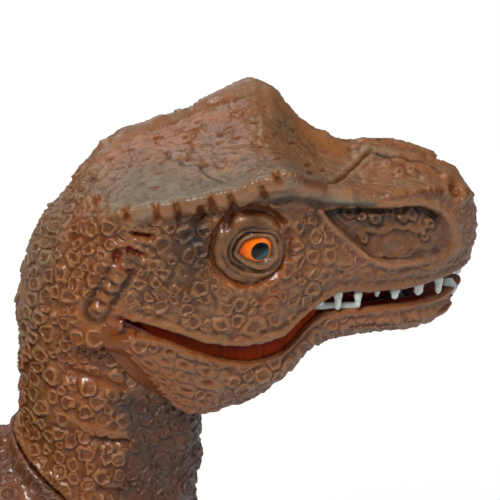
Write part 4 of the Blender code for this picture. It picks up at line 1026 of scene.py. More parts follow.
# The horn and the brow's edge are washed pale: a painted highlight.
pale_highlight = hump(horn_gap, 2.2) * 0.45 + hump(gap - 0.6, 1.4) * 0.35 * fade(head.lumps(3, 36), -0.2, 0.5)
NOTCHES = [((125, 207), (127, 219)), ((156, 206), (158, 219)), ((176, 205), (180, 219)),
           ((199, 205), (202, 217)), ((211, 199), (214, 212)), ((230, 195), (234, 209)),
           ((261, 186), (265, 199)), ((275, 172), (279, 182)), ((96, 197), (97, 205))]
far_side = fade(head.points[:, 1], 2, 6)
for ends in NOTCHES:
    gap = near.reach(ends, 3)[0]
    work(gap, 1 - 0.85 * far_side, carve=(-1.2, 0.6))
    work(gap, 1 - far_side, ember=(0.95, 0.8))
    # Each notch is orange paint, darkened at its bottom as painted shade.
    work(gap, dark=(0.35, 0.35))
CRESCENT = [(226, 226), (232, 217), (245, 212.5), (262, 212), (275, 216), (283, 225)]
gap = near.reach(CRESCENT)[0]
work(gap, sees, carve=(-1.5, 1.0))
# The crescent groove under the brow is painted as a shadow: orange, dark and a little red.
brow_shadow = hump(gap, 0.9) * sees
UNDER_BROW = [(196, 219), (222, 214), (240, 209), (266, 203), (300, 200), (322, 205), (345, 206), (372, 206)]
# The groove under the brow is darkened: painted shadow.
work(near.reach(UNDER_BROW)[0], carve=(-0.55, 0.8), dark=(0.65, 1.2))
STRIP = [(254, 201), (280, 197), (310, 197), (340, 201), (368, 203)]
gap = near.reach(STRIP)[0]
work(gap, calm=(0.9, 1.5), gloss=(0.7, 1.5))
grey_strip = hump(gap, 1.2)

# Snout: a hollowed side with knobs in it, a cord of skin below, a ridge above
FOSSA = smooth_path([(324, 212), (345, 207.5), (371, 208), (396, 207.5), (417, 206), (430, 208), (442, 214),
                     (450, 224), (453, 237), (451, 248), (445, 256), (434, 262), (420, 263), (400, 265),
                     (386, 265), (371, 259), (357, 248), (343, 236), (331, 224), (324, 212)], 3)
snout_zone = (hx > 8) & (hz > -8) & (near.facing > 0)
fossa_in = np.where(snout_zone, near.inside(FOSSA), FAR_OUT)
fossa_top = fade(near.down, 236, 208)
carve -= 1.2 * fade(fossa_in, -1, 6) * (0.7 + 0.7 * fossa_top)
carve -= 0.7 * hump(fossa_in - 4, 3.5) * fossa_top
# The hollow is darkened, most at its top under the ridge: painted shade.
more(dark, fade(fossa_in, 0, 5) * (0.46 + 0.38 * fossa_top + 0.30 * head.lumps(2.5, 44)))
CORD = [(321.6, 212.7), (331, 224), (342.6, 235.7), (358, 249), (371, 259.6), (386.6, 265.3), (400, 265.3),
        (419, 262.4), (436, 257)]
gap, share = near.reach(CORD)
work(gap, fade(share, 1.0, 0.85), carve=(0.62, 0.62))
work(gap - 1.3, carve=(-0.3, 0.5))
work(gap, calm=(0.8, 1.0))
cord = hump(gap, 0.6)
SNOUT_RIDGE = [(336, 200), (352, 201), (372, 202), (396, 203), (416, 201), (430, 204), (443, 211),
               (452.5, 222), (456, 236), (455, 248)]
gap = near.reach(SNOUT_RIDGE)[0]
work(gap, 1 - 0.8 * far_side, carve=(0.75, 1.2))
work(gap, gloss=(0.6, 1.6), calm=(0.7, 1.4))
FAR_RIM = [(369, 150), (385, 151), (402, 153), (418, 156)]
gap = near.mark(FAR_RIM)[0]
work(gap, carve=(0.50, 1.1))
far_rim = hump(gap, 1.3)
RIM_LINE = [(373, 154), (395, 157), (420, 162), (436, 168)]
# A groove under the far rim, darkened: painted shade.
work(near.mark(RIM_LINE)[0], carve=(-0.45, 0.5), dark=(0.6, 0.6))

# Nostril: a leaning hollow by its middle and half sizes in pixels, and the
# one on the far side by its place and radius in millimetres
NOSTRIL = (455.0, 189.0)
NOSTRIL_HALF = (10.5, 6.0)
NOSTRIL_LEAN = math.radians(64)
FAR_NOSTRIL = (HEAD_X + 41.5, 5.5, HEAD_Z + 9.5)
FAR_NOSTRIL_R = 1.7
off_x, off_y = near.seen_across - NOSTRIL[0], near.seen_down - NOSTRIL[1]
lean_c, lean_s = math.cos(NOSTRIL_LEAN), math.sin(NOSTRIL_LEAN)
hole = np.hypot((off_x * lean_c + off_y * lean_s) / NOSTRIL_HALF[0],
                (off_y * lean_c - off_x * lean_s) / NOSTRIL_HALF[1])
hole = np.where((hx > 34) & (head.points[:, 1] < 0) & (hz > 6), hole, 9)
hole = np.minimum(hole, np.linalg.norm(head.points - FAR_NOSTRIL, axis=1) / FAR_NOSTRIL_R)
carve -= 0.9 * fade(hole, 1.0, 0.4) - 0.20 * hump(hole - 1.3, 0.25)
calm *= fade(hole, 1.1, 1.6)
more(ember, fade(hole, 1.15, 0.7) * 0.95)
# The hollow is orange paint, darkened most at its top: painted shade.
more(dark, fade(hole, 1.05, 0.5) * (0.30 + 0.50 * fade(off_y, 2, -6)))

# Knobs in the hollow and on the snout, by column, row and size in pixels
FOSSA_KNOBS = [(352, 214, 8), (364, 219, 6), (377, 222, 6.5), (392, 214, 6), (404, 222, 5.5), (415, 217, 8),
               (434, 225, 6), (426, 238, 5), (366, 240, 5)]
for column, row, size in FOSSA_KNOBS:
    ring = np.where(snout_zone, np.hypot(near.across - column, near.down - row), 99)
    work(ring - size * 0.6, carve=(0.50, 2.2))
    work(ring, carve=(-0.15, 1.8))
    work(ring - size * 1.2, carve=(-0.35, 1.4))
SNOUT_KNOBS = [(387, 165, 5), (400, 173, 6), (411, 170, 5), (424, 178, 4), (431, 189, 4), (446, 176, 4)]
snout_top = (hx > 20) & (hz > 8) & near.seen
for column, row, size in SNOUT_KNOBS:
    ring = np.where(snout_top, np.hypot(near.seen_across - column, near.seen_down - row), 99)
    work(ring - size * 0.5, carve=(0.55, 2.2))
    work(ring, carve=(-0.2, 1.6))
SQUIGGLE = [(362, 235), (370, 232), (379, 233.5), (388, 233), (396, 229), (403, 231), (410, 230), (418, 234),
            (428, 231)]
gap = near.reach(SQUIGGLE)[0]
work(gap, carve=(0.42, 0.5))
work(gap - 1.1, carve=(-0.2, 0.4))
GROOVE_AT_EYE = [(290, 232), (292.5, 244), (291, 257)]
gap = near.reach(GROOVE_AT_EYE)[0]
# Orange paint in the groove, darkened: painted shade.
work(gap, carve=(-0.9, 0.75), ember=(0.8, 1.1), dark=(0.7, 0.5))

# Roof: plates with a stitched seam, a crack and an edge over the snout
STITCH = [(201, 119), (194, 128), (188, 138), (186, 147), (187, 157), (197, 164)]
stitch = hump(near.mark(STITCH)[0], 1.5)
carve += 0.30 * stitch
CRACK = [(168, 152), (170.5, 159), (180, 161.5), (186, 165.5), (198, 166), (203, 170.5), (209, 176),
         (216, 179), (223.5, 182.5)]
gap = near.mark(CRACK, 2)[0]
work(gap, carve=(-0.20, 0.40))
crack = hump(gap, 0.32)
PLATE_EDGE = [(299, 178), (310, 183), (327, 185), (339, 180), (352, 169), (364, 157), (371, 151)]
gap, share = near.mark(PLATE_EDGE)
work(gap - 1.0, fade(share, 0.3, 0.5), carve=(0.3, 0.6))
# The groove at the plate's edge is darkened: painted shade; its orange is paint.
work(gap, carve=(-0.45, 0.45), dark=(0.55, 0.5), ember=(0.5, 1.0))

# Small dents of the roof, each by the pixel of its middle and half its width
ROOF_DENTS = [
    (159, 138, 5), (132, 150, 4), (119.5, 168.5, 4), (174, 123, 3), (188, 112, 4.5), (200, 122.5, 4),
    (195, 130.5, 4), (188.5, 138, 4.5), (188, 143.5, 4), (185, 151, 3.5), (190.5, 159.5, 4), (205, 165.5, 4),
    (221.5, 143, 3.5), (235, 112.5, 3), (225, 134, 4), (239, 137.5, 4), (255.5, 122, 4), (238, 153, 5),
    (159.5, 173, 4.5), (155.5, 187, 3), (109, 160, 3), (278.5, 158.5, 4), (307, 165, 4), (310, 173, 4),
    (323, 171, 3), (276, 134, 3), (262, 146, 3), (146, 160, 3), (215, 186, 3), (292, 143, 4), (128, 181, 3),
    (250, 170, 4)]
DENT_SHARE = 0.7
DENT_SLOPE = 0.8
dents = np.zeros(count)
for column, row, half_wide in ROOF_DENTS:
    aside = half_wide * DENT_SHARE
    gap = near.mark([(column - aside, row + DENT_SLOPE), (column, row),
                     (column + aside, row - DENT_SLOPE)], 2)[0]
    more(dents, hump(gap, 0.36))
carve -= 0.35 * dents
# The dents hold orange paint and are darkened: painted shade.
more(ember, dents * 0.8)
more(dark, dents * 0.5)
RIM_GROOVE = [(206, 106.5), (218, 104.5), (228, 102), (240, 98.5)]
gap, share = near.mark(RIM_GROOVE)
work(gap, 0.5 + 0.5 * share, carve=(-0.45, 0.9))
# The groove is orange paint, darkened: painted shade.
work(gap, 0.6 + 0.4 * share, ember=(1.0, 1.0), dark=(0.55, 1.0))
ROLL = [(98, 158), (110, 146), (128, 135), (150, 126), (175, 116), (198, 105), (222, 94), (240, 86),
        (258, 85), (276, 94)]
gap = near.mark(ROLL)[0]
work(gap, 1 + 0.8 * head.lumps(3.5, 46), carve=(0.55, 1.7))
roll = hump(gap, 2.2)
BACK_EDGE = [(73, 197), (84, 198), (95, 205), (111, 206), (121, 214), (132, 218)]
gap, share = near.reach(BACK_EDGE)
work(gap, 0.6 + 0.5 * np.sin(share * 30), carve=(0.55, 1.0))

# Behind the eye: slits, folds and a band of cross ridges down to the mouth
SLITS = [([(132, 233.5), (142, 235.5), (152, 237)], 1.2, 0.42),
         ([(125, 248), (134, 252), (143, 256)], 0.9, 0.40),
         ([(119, 250), (116, 256), (118, 261)], 1.0, 0.75),
         ([(119, 266), (126, 269), (131, 273)], 0.7, 0.40)]
for stops, depth, width in SLITS:
    gap, share = near.reach(stops)
    work(gap, fade(share, -0.05, 0.1) * fade(share, 1.05, 0.9), carve=(-depth, width), blood=(1.0, width))
    work(gap - 1.2, carve=(0.45, 0.6))
    work(gap, ember=(0.9, width * 1.9))
ZIP = [(126, 262), (119, 275), (111, 287), (104, 298), (96, 312)]
ZIP_RIDGES = 5
gap, share = near.reach(ZIP)
ridges = np.abs(np.sin(share * math.pi * ZIP_RIDGES))
from_top = fade(share, 0, 0.06)
work(gap, (0.1 + 0.95 * ridges) * from_top, carve=(1.05, 1.1))
work(gap - 2.1, from_top, carve=(-0.6, 0.7))
# The grooves beside and between the ridges are darkened: painted shade.
work(gap - 2.1, dark=(0.7, 0.7))
work(gap, 1 - ridges, dark=(0.7, 1.2))
work(gap, gloss=(1.0, 1.4), calm=(0.9, 1.8))

# Corner of the mouth: the slot runs on over the back of the cheek
CORNER = [(105, 318.5), (112, 318.5), (121, 320.5), (131, 323.5)]
gap, share = near.reach(CORNER)
work(gap, fade(share, -0.1, 0.5), carve=(-1.3, 0.75))
work(gap, fade(share, 0.0, 0.3), blood=(1.0, 0.75))
work(gap, ember=(0.8, 1.6), calm=(1.0, 2.5))

# Folds of the neck, by stops, depth, half width and how orange they are
NECK_FOLDS = [([(57, 368), (72, 374), (92, 380), (114, 386), (132, 393)], 1.0, 1.3, 0.95),
              ([(61, 412), (75, 421), (89, 428), (112, 432), (135, 434)], -0.5, 1.4, 0.0),
              ([(86, 439), (105, 442), (134, 443)], 1.0, 0.75, 0.4),
              ([(100, 318), (110, 331), (121, 349), (133, 366), (150, 382)], 0.9, 1.6, 0.95),
              ([(40, 300), (58, 306), (80, 304)], 0.35, 0.8, 0.3),
              ([(95, 488), (108, 492), (122, 494)], 0.8, 0.8, 0.3)]
DEEP_FOLD = 0.95
for stops, depth, width, orange in NECK_FOLDS:
    gap, share = near.reach(stops)
    ends = fade(share, 0.0, 0.15) * fade(share, 1.0, 0.85)
    work(gap, ends, carve=(-depth, width), ember=(orange, width * 1.3), calm=(0.8, width))
    # Deep folds are darkened at their bottoms: painted shade; their orange is paint.
    if depth > DEEP_FOLD:
        work(gap, ends, dark=(0.45, width * 0.5))

# Scales: rings on neck and cheek, flakes on the roof
RINGS = [
    (73, 229, 7), (107.6, 229.4, 9.5), (44.6, 258, 7.5), (73.3, 258, 8), (90, 248, 6.5), (102, 255, 6.5),
    (34, 271, 6), (50, 277, 7), (94, 280.5, 9), (72.5, 285, 7.5), (56, 291.6, 7.5), (63.8, 323.5, 7),
    (94, 339.4, 11), (99, 357.5, 7), (65.4, 346, 8), (68.6, 401.6, 8), (161, 307.5, 8), (187.5, 310.7, 8),
    (177, 290, 6), (157, 284.4, 7), (140, 285, 7), (221.6, 323.5, 9), (255, 327, 12), (229.6, 269.3, 4.5),
    (215, 283, 7), (331, 255, 9), (345, 267, 7), (283, 296, 6), (153, 266, 7), (300, 262, 7), (315, 275, 7),
    (240, 305, 8), (205, 300, 7), (200, 262, 6), (300, 225, 8)]
scales = Scales(head.points, 2.5, 61, 0.42, near.placed(RINGS), warp=0.26)
flakes = Scales(head.points * (0.75, 1, 1), 1.65, 63, 0.40, warp=0.22, low_side=(-0.8, 0.3, -0.5))
ringed = calm * np.clip(is_neck + 0.9 * is_cheek + 0.75 * is_snout, 0, 1) * (1 - in_mouth)
ringed *= (1 - 0.75 * fade(fossa_in, -2, 3)) * (1 - fade(orbit_in, -2, 2) * 0.9)
on_snout = is_roof * fade(hx, 13, 19)
plain = (1 - crack) * (1 - stitch * 0.6) * (1 - roll * 0.8) * (1 - far_rim * 0.7) * calm
grain = head.lumps(1.1, 8) * 0.6 + head.lumps(0.7, 18) * 0.4
grain_share = 0.07 + 0.13 * is_roof + 0.08 * is_cheek + 0.14 * is_snout
carve += scales.rings() * (0.66 * is_neck + 0.52 * is_cheek + 0.50 * is_snout) * ringed
carve += flakes.shingles() * 0.24 * is_roof * (1 - on_snout * 0.5) * plain
carve += 0.42 * head.lumps(5.0, 48, (1, 1, 1.5)) * is_neck
carve += 0.22 * head.lumps(2.6, 49) * is_cheek * calm
carve += grain * grain_share * (0.45 + 0.55 * calm)
carve += 0.30 * head.lumps(1.9, 47) * on_snout * calm
carve += 0.20 * head.lumps(3.4, 2) * (1 - 0.7 * fade(orbit_in, -3, 3))
carve *= seam_free * (1 - in_mouth)
head.lift(carve)

# Layers of paint: outlines of the roof's green and orange, the nape's wash and
# the throat's painted shade, in pixels, and then each layer at its highest
GREEN = [(60, 196), (72, 172), (120, 168), (170, 165), (235, 176), (300, 165), (335, 168), (372, 148),
         (378, 156), (330, 190), (235, 200), (150, 216), (95, 206)]
ORANGE = [(100, 160), (112, 148), (140, 136), (180, 120), (215, 108), (245, 100), (262, 108), (240, 122),
          (200, 128), (200, 150), (180, 145), (150, 150), (120, 165)]
NAPE = [(20, 270), (20, 200), (90, 170), (75, 200), (60, 240), (45, 280), (30, 330), (10, 350)]
THROAT = [(112, 396), (140, 392), (165, 398), (205, 408), (215, 520), (112, 520), (122, 470), (136, 436)]
green = fade(near.inside_seen(GREEN), -14, 14) * is_roof
orange_band = fade(near.inside_seen(ORANGE), -10, 8) * is_roof
nape = fade(near.inside(NAPE), -14, 8) * (1 - is_roof)
throat_shade = fade(near.inside(THROAT), -14, 10) * (hz < -22)
# Deep places, below their wider surroundings: they take orange paint, and are darkened as painted shade.
deep = fade(carve - head.blur(carve, 60), -0.15, -0.9)
# The brow and the rolled rim are lifted towards the lighter raised colour: a painted highlight.
high = np.clip(0.56 + (carve - head.blur(carve, 12)) / 0.42 * 0.5, 0, 1) + brow * 0.35 + roll * 0.35
# The front of the neck, low under the jaw: darkened and purple-grey as painted shade.
front = fade(head.normals[:, 0], 0.0, 0.7) * fade(hz, -6, -16)


def patchy(middle, spread, size, seed):
    """A share about middle that wanders by spread, from 0 to 1."""
    return np.clip(middle + spread * head.lumps(size, seed), 0, 1)


wash = np.clip(is_roof * (0.16 + 0.30 * head.lumps(6, 12)) + green * 0.55, 0, 1)
wash *= (1 - 0.5 * brow) * (1 - orange_band * 0.7)
for amount in (nape * 0.62, np.clip(pale_highlight, 0, 1) * 0.9, grey_strip * 0.65,
               np.clip(far_rim * 0.5 + roll * 0.3, 0, 1)):
    more(wash, amount)
pits = (flakes.number > 0.7) * fade(flakes.lean, 0.1, -0.6) * fade(flakes.share, 0.3, 0.8) * plain
for amount in (pits * is_roof * (0.50 + 0.35 * head.lumps(8, 15)) * (1 - green * 0.5),
               is_roof * patchy(0.28, 0.40, 5, 25) * (1 - green),
               orange_band * patchy(0.70, 0.5, 3, 26) * (1 - roll * 0.7),
               is_cheek * fade(head.lumps(6, 27), 0.1, 0.8) * 0.45,
               is_neck * patchy(0.25, 0.40, 9, 16),
               deep * 0.35,
               brow_shadow * 0.8):
    more(ember, amount)
behind_eye = hump(np.hypot((near.across - 192) / 32, (near.down - 246) / 44), 0.95) * (hz > -6) * (hy > 8)
# A band under the brow, darkened: painted shadow.
under_brow_shadow = hump(np.hypot((near.across - 262) / 72, (near.down - 214) / 9), 1.0) * (1 - is_roof) * (hz > 5)
for amount in (is_roof * patchy(0.20, 0.25, 2.2, 51) * (1 - on_snout),
               behind_eye * (0.85 + 0.3 * head.lumps(3, 21)),
               throat_shade * (0.42 + 0.3 * head.lumps(3, 50)),
               is_snout * fade(hz, 6, -3) * 0.22,
               under_brow_shadow * 0.42, crack * 0.9, deep * 0.25, is_neck * front * 0.55, brow_shadow * 0.4):
    more(dark, amount)
# Purple-grey painted shade on the neck's front and the throat.
purple_shade = np.maximum(is_neck * front * 0.95, throat_shade * 0.8)
rose = is_snout * 0.7 + is_cheek * 0.2 + is_roof * 0.12 + cord + roll * 0.8 + brow * 0.6 + far_rim * 0.5
more(mouth, np.clip(brow_shadow * 0.3 + blood, 0, 1))
head.paint("layers", high, wash, dark, ember)
head.paint("tones", rose, purple_shade, mouth, gloss)
head.paint_scales(scales, ringed * (1 - mouth))
head_finish = skin_finish("hide_brown", SKIN_BROWN, SKIN_RAISED, SKIN_HOLLOW, 0.38)
head.finish(head_finish, "head", "skin", most=197000)

# Eyes: glossy painted balls set in the sockets of the head
EYE_ORANGE = tint(244, 118, 14)
EYE_RED = tint(205, 70, 8)
PUPIL_BLACK = (0.003, 0.003, 0.004, 1)
PUPIL_GLINT = tint(34, 84, 98)
PUPIL = (260.9, 252)
PUPIL_R = 1.9
PUPIL_EDGE = 0.08

for side, sign in SIDES:
    centre = Vector(EYE_SPOT * (1, sign, 1)) * MM
    bpy.ops.object.select_all(action="DESELECT")
    bpy.ops.mesh.primitive_uv_sphere_add(segments=64, ring_count=40, radius=EYE_R * MM, location=centre)
    ball = bpy.context.object
    bpy.ops.object.transform_apply(location=True, rotation=True, scale=True)
    ball.name = f"eyeball_{side}"
    line = sight_line(*PUPIL)
    start = viewpoint - Vector(EYE_SPOT * (1, -1, 1)) * MM
    half_way = -start.dot(line)
    near_hit = half_way - math.sqrt(half_way ** 2 - start.dot(start) + (EYE_R * MM) ** 2)
    pupil = start + line * near_hit
    pupil = Vector((pupil.x, -pupil.y * sign, pupil.z)) + centre
    eye_finish, shader, place = new_finish(f"eye_paint_{side}")
    offset = place.make("ShaderNodeMapping", {"vector_type": "POINT"},
                        {"Vector": place, "Location": tuple(-value for value in pupil)})
    gap = place.make("ShaderNodeVectorMath", {"operation": "LENGTH"}, {0: offset}, out=1) * (1 / MM)
    haze = speckle(place, 1.2)
    parts = place.make("ShaderNodeSeparateXYZ", None, {0: offset})
    ahead = parts * (1 / MM)
    drop = Wire(place.tree, parts.socket.node.outputs[2]) * (1 / MM)
    iris = (gap + haze * 0.8).ease(2.4, 4.4).between(EYE_ORANGE, EYE_RED)
    # The pupil is black with a painted reflection: a teal glint towards its lower front.
    pupil_and_reflection = (ahead * 0.5 - drop * 0.8 + haze * 0.3).ease(0.35, 1.1).between(PUPIL_BLACK, PUPIL_GLINT)
    feed(gap.ease(PUPIL_R - PUPIL_EDGE, PUPIL_R + PUPIL_EDGE).between(pupil_and_reflection, iris), shader, "Base Color")
    feed(0.12 + haze * 0.08, shader, "Roughness")
    settle(shader, {"Specular IOR Level": 0.25, "Coat Weight": 0.12, "Coat Roughness": 0.05})
    ball.data.shade_smooth()
    ball.data.materials.append(eye_finish)
    hang(ball, "head", f"eye_{side}")

# Lower jaw: its own casting, hinged on a pin at the corners of the mouth
jaw = Casting("jaw_skin", "lower_jaw", 0.33, sharp_deg=80)
free = jaw.free_share(0.3, 1.5)
jaw.soften(12, free)
near_jaw = NearSide(jaw)
jx, jy, jz = from_datum(jaw)
jaw_down = -jaw.normals[:, 2]
EDGE_ROWS = np.array([
    (-28.0, 16.2, -6.6), (-23.0, 16.6, -7.6), (-19.0, 17.0, -9.0), (-15.0, 17.2, -11.3), (-10.0, 17.1, -13.8),
    (-3.0, 16.5, -16.0), (4.0, 15.0, -15.3), (9.0, 13.5, -10.7), (13.0, 12.5, -8.7), (23.0, 11.4, -9.2),
    (32.0, 9.6, -9.9), (38.0, 6.6, -10.6), (42.0, 3.2, -10.6), (43.8, 1.3, -10.5)])
edge_y = np.interp(jx, EDGE_ROWS[:, 0], EDGE_ROWS[:, 1])
edge_z = np.interp(jx, EDGE_ROWS[:, 0], EDGE_ROWS[:, 2])
below = edge_z - jz
edge_gap = np.hypot(jy - edge_y, below)
in_mouth = fade(edge_y - jy, 0.9, 1.8) * fade(below, 4.6, 3.6) * fade(jaw_down, 0.1, -0.4)
more(in_mouth, (jy < edge_y - 1.5) & (below < 3.6) & (jx > -6))
ear = (jx < -15) & (jy < 15.4) & (jz > -9)
carve = 0.32 * hump(edge_gap - 0.9, 0.7) * fade(below, -0.2, 0.5)
carve -= 0.20 * hump(edge_gap - 2.4, 0.5) * fade(below, 0.8, 1.8)

# Its scales: long ones that slant along it, and rings among them
SLANT = 0.6
SLANT_STRETCH = 0.55
slant_c, slant_s = math.cos(SLANT), math.sin(SLANT)
x, y, z = jaw.points.T
slanted = np.stack([(x * slant_c - z * slant_s) * SLANT_STRETCH, y, x * slant_s + z * slant_c], axis=1)
long_scales = Scales(slanted, 1.9, 71, 0.38, warp=0.2, low_side=(0.2, 0, -1))
JAW_RINGS = [(124, 335, 8), (262, 372, 9), (300, 345, 8), (331, 322, 7), (232, 360, 7), (200, 395, 7),
             (285, 362, 7)]
jaw_scales = Scales(jaw.points, 2.9, 72, 0.32, near_jaw.placed(JAW_RINGS), warp=0.12)
mix = fade(jaw.lumps(9, 7), -0.3, 0.4)
more(mix, fade(jaw_scales.number, 0.84, 0.85) * fade(jaw_scales.number, 0.86, 0.85))
neat = fade(below, 0.5, 2.0) * (1 - in_mouth)
pits = hump(long_scales.share, 0.42) * (long_scales.number > 0.35) * (1 - mix * 0.8) * neat
carve += (long_scales.shingles() * 0.30 * (1 - mix * 0.75) + jaw_scales.rings() * 0.50 * mix) * neat
carve -= 0.42 * pits - 0.22 * hump(long_scales.share - 0.62, 0.25) * (1 - mix) * neat
carve += 0.14 * jaw.lumps(3, 2) + 0.07 * jaw.lumps(1, 3)
fuller = fade(jaw_down, -0.35, 0.5) * fade(jx, -14, 2) * fade(below, 1.5, 4)
carve += (1.2 + 0.6 * fade(jx, 15, 30)) * fuller
jaw.lift(carve * ~ear * (1 - in_mouth) * free)

# What would touch the head with the jaw wide open is pressed back
JAW_OPEN = math.radians(11)
JAW_ROOM = 0.15
PRESS_MOST = 1.4
PRESS_REACH = 2.5
open_c, open_s = math.cos(JAW_OPEN), math.sin(JAW_OPEN)
wall = touch_tree(head.piece.data)
for _ in range(2):
    x, y, z = (jaw.points - HINGE).T
    opened = HINGE + np.stack([x * open_c + z * open_s, y, z * open_c - x * open_s], axis=1)
    press = np.zeros(len(x))
    for number in np.flatnonzero(jx < 2):
        spot = Vector(opened[number]) * MM
        touch, outward = wall.find_nearest(spot, PRESS_REACH * MM)[:2]
        if touch is not None:
            room = (spot - touch).dot(outward) / MM
            press[number] = min(max(JAW_ROOM - room, 0), PRESS_MOST)
    jaw.lift(-jaw.blur(press, 1) - press * 0.2)

# Its paint, with the mouth's red along the edge and in the slot behind it
BACK_SLOT = [(112, 319), (124, 319), (140, 327), (140, 331), (124, 328), (114, 324)]
local = carve - jaw.blur(carve, 12)
wide = carve - jaw.blur(carve, 50)
mouth = np.maximum(in_mouth, hump(edge_gap, 0.7) * 0.5 * fade(jx, -30, -26))
more(mouth, fade(near_jaw.inside(BACK_SLOT), -1.5, 1.0) * (jx < -18))
# Darker towards the jaw's bottom, in its wide hollows and in its pits: painted shade.
dark = np.maximum(fade(jz, -24, -31) * 0.3, fade(wide, -0.15, -0.8) * 0.3)
more(dark, pits * 0.35)
ember = fade(jaw.lumps(8, 9), 0.3, 0.9) * 0.3
more(ember, pits * 0.7)
more(ember, hump(edge_gap - 0.2, 0.9) * 0.75)
more(ember, fade(jx + 0.9 * jz, -30, -36) * fade(below, 1, 3) * 0.45)
jaw.paint("layers", 0.56 + local / 0.40 * 0.5, 0, dark, ember)
# Its underside takes the purple-grey painted shade.
jaw.paint("tones", 0.42 + 0.4 * fade(jx, 5, 15), fade(jaw.normals[:, 2], -0.3, -0.95) * 0.5, mouth, 0)
jaw.paint_scales(jaw_scales, mix * neat * (1 - mouth))
jaw.finish(head_finish, "jaw", "skin")

# Web of the mouth: a thin red skin, stretched in ribs from behind the upper lip
# to the edge of the jaw.
WEB_FROM, WEB_SPLIT, WEB_TO = -33.0, -4.0, 14.0
WEB_LAP = 0.3
WEB_STEP = 0.32
WEB_ROWS = 12
WEB_THICK = 0.7
web_finish, shader, place = new_finish("mouth_web_red")
depth = place.make("ShaderNodeAttribute", {"attribute_name": "depth"})
depth = place.make("ShaderNodeSeparateColor", None, {0: depth})
rib = Wire(place.tree, depth.socket.node.outputs[1])
haze = speckle(place, 1.4)
# Painted shadow: the web is dark red under the upper lip and lighter towards the jaw, and its sunken ribs are
# darkened.
colour = (depth + (haze - 0.5) * 0.3).ease(0.35, 0.95).between(tint(92, 8, 2), tint(158, 52, 6))
feed((rib * 1.4).clamp().between(colour, tint(44, 6, 2)), shader, "Base Color")
feed(0.36 + haze * 0.12, shader, "Roughness")
roughen(haze, shader, 0.4, 0.1)
settle(shader, {"Specular IOR Level": 0.08})


def strip_piece(name, top, bottom, hollow, ribs, thick):
    """A closed sheet between two rows of points, hollowed by hollow."""
    columns = len(top)
    shares = np.linspace(0, 1, WEB_ROWS)
    spots = []
    for column in range(columns):
        for share in shares:
            spot = top[column] * (1 - share) + bottom[column] * share
            sag = math.sin(math.pi * share) + ribs[column] * share * (1 - share) * 2
            spots.append(Vector(spot + hollow * sag) * MM)
    faces = []
    for column in range(columns - 1):
        for row in range(WEB_ROWS - 1):
            corner = column * WEB_ROWS + row
            faces.append((corner, corner + 1, corner + WEB_ROWS + 1, corner + WEB_ROWS))
    mesh = bpy.data.meshes.new(name)
    mesh.from_pydata(spots, [], faces)
    piece = bpy.data.objects.new(name, mesh)
    bpy.context.collection.objects.link(piece)
    colour_layer(mesh, "depth", np.tile(shares, columns), np.repeat(ribs, WEB_ROWS), 0, 1)
    wall = piece.modifiers.new("wall", "SOLIDIFY")
    wall.thickness = thick * MM
    wall.offset = 0
    choose(piece)
    bpy.ops.object.modifier_apply(modifier=wall.name)
    bpy.ops.object.mode_set(mode="EDIT")
    bpy.ops.mesh.select_all(action="SELECT")
    bpy.ops.mesh.normals_make_consistent(inside=False)
    bpy.ops.object.mode_set(mode="OBJECT")
    piece.data.shade_smooth()
    return piece


def web_line(rows, along, inset, rise, sign):
    aside = np.interp(along, rows[:, 0], rows[:, 1]) - inset
    height = np.interp(along, rows[:, 0], rows[:, 2]) + rise
    return np.stack([along + HEAD_X, aside * sign, height + HEAD_Z], axis=1)


rib_numbers = np.random.default_rng(5).uniform(-1, 1, 400)
WEB_PARTS = (("rear", WEB_FROM, WEB_SPLIT + WEB_LAP, -0.28), ("front", WEB_SPLIT - WEB_LAP, WEB_TO, 0.35))
for side, sign in SIDES:
    for part, start, end, slope in WEB_PARTS:
        along = np.arange(start, end, WEB_STEP)
        inward = fade(along, 10, WEB_TO) * 2.2
        top = web_line(LIP_ROWS, along, 3.2 + inward, 1.2, sign)
        bottom = web_line(EDGE_ROWS, along, 1.7 + inward, -0.7, sign)
        behind = along < EDGE_ROWS[0, 0]
        bottom[behind, 2] = np.minimum(bottom[behind, 2], top[behind, 2] - 1.0)
        hollow = np.array([0, -sign * 0.7, 0])
        ribs = rib_numbers[:len(along)] * 0.35
        web = strip_piece(f"mouth_web_{part}_{side}", top, bottom, hollow, ribs, WEB_THICK)
        web.data.materials.append(web_finish)
        length = math.hypot(1, slope)
        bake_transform(web)


# Fold behind the jaw: a soft valley of skin from the neck to the jaw's back
NECK_SIDE = [(104, 325), (101, 334), (104, 346), (112, 357), (124, 369), (138, 381), (155, 392), (173, 401)]
JAW_SIDE = [(137, 330), (136, 338), (137, 348), (141, 358), (149, 369), (160, 380), (174, 391), (190, 400)]
FOLD_THICK = 1.2
# The fold is low in the paint's relief and darkened: painted shade in the valley.
FOLD_LAYERS = {"layers": (0.35, 0, 0.30, 0.9), "tones": (0, 0, 0, 0.5), "scales": (0.5, 0.5, 0.5, 0)}
neck_row = near.path(NECK_SIDE, 8)
jaw_row = near_jaw.path(JAW_SIDE, 8)
columns = min(len(neck_row), len(jaw_row))


def even_row(path):
    lengths = np.concatenate([[0], np.cumsum(np.linalg.norm(np.diff(path, axis=0), axis=1))])
    stations = np.linspace(0, 1, columns) * lengths[-1]
    return np.stack([np.interp(stations, lengths, line) for line in path.T], axis=1)


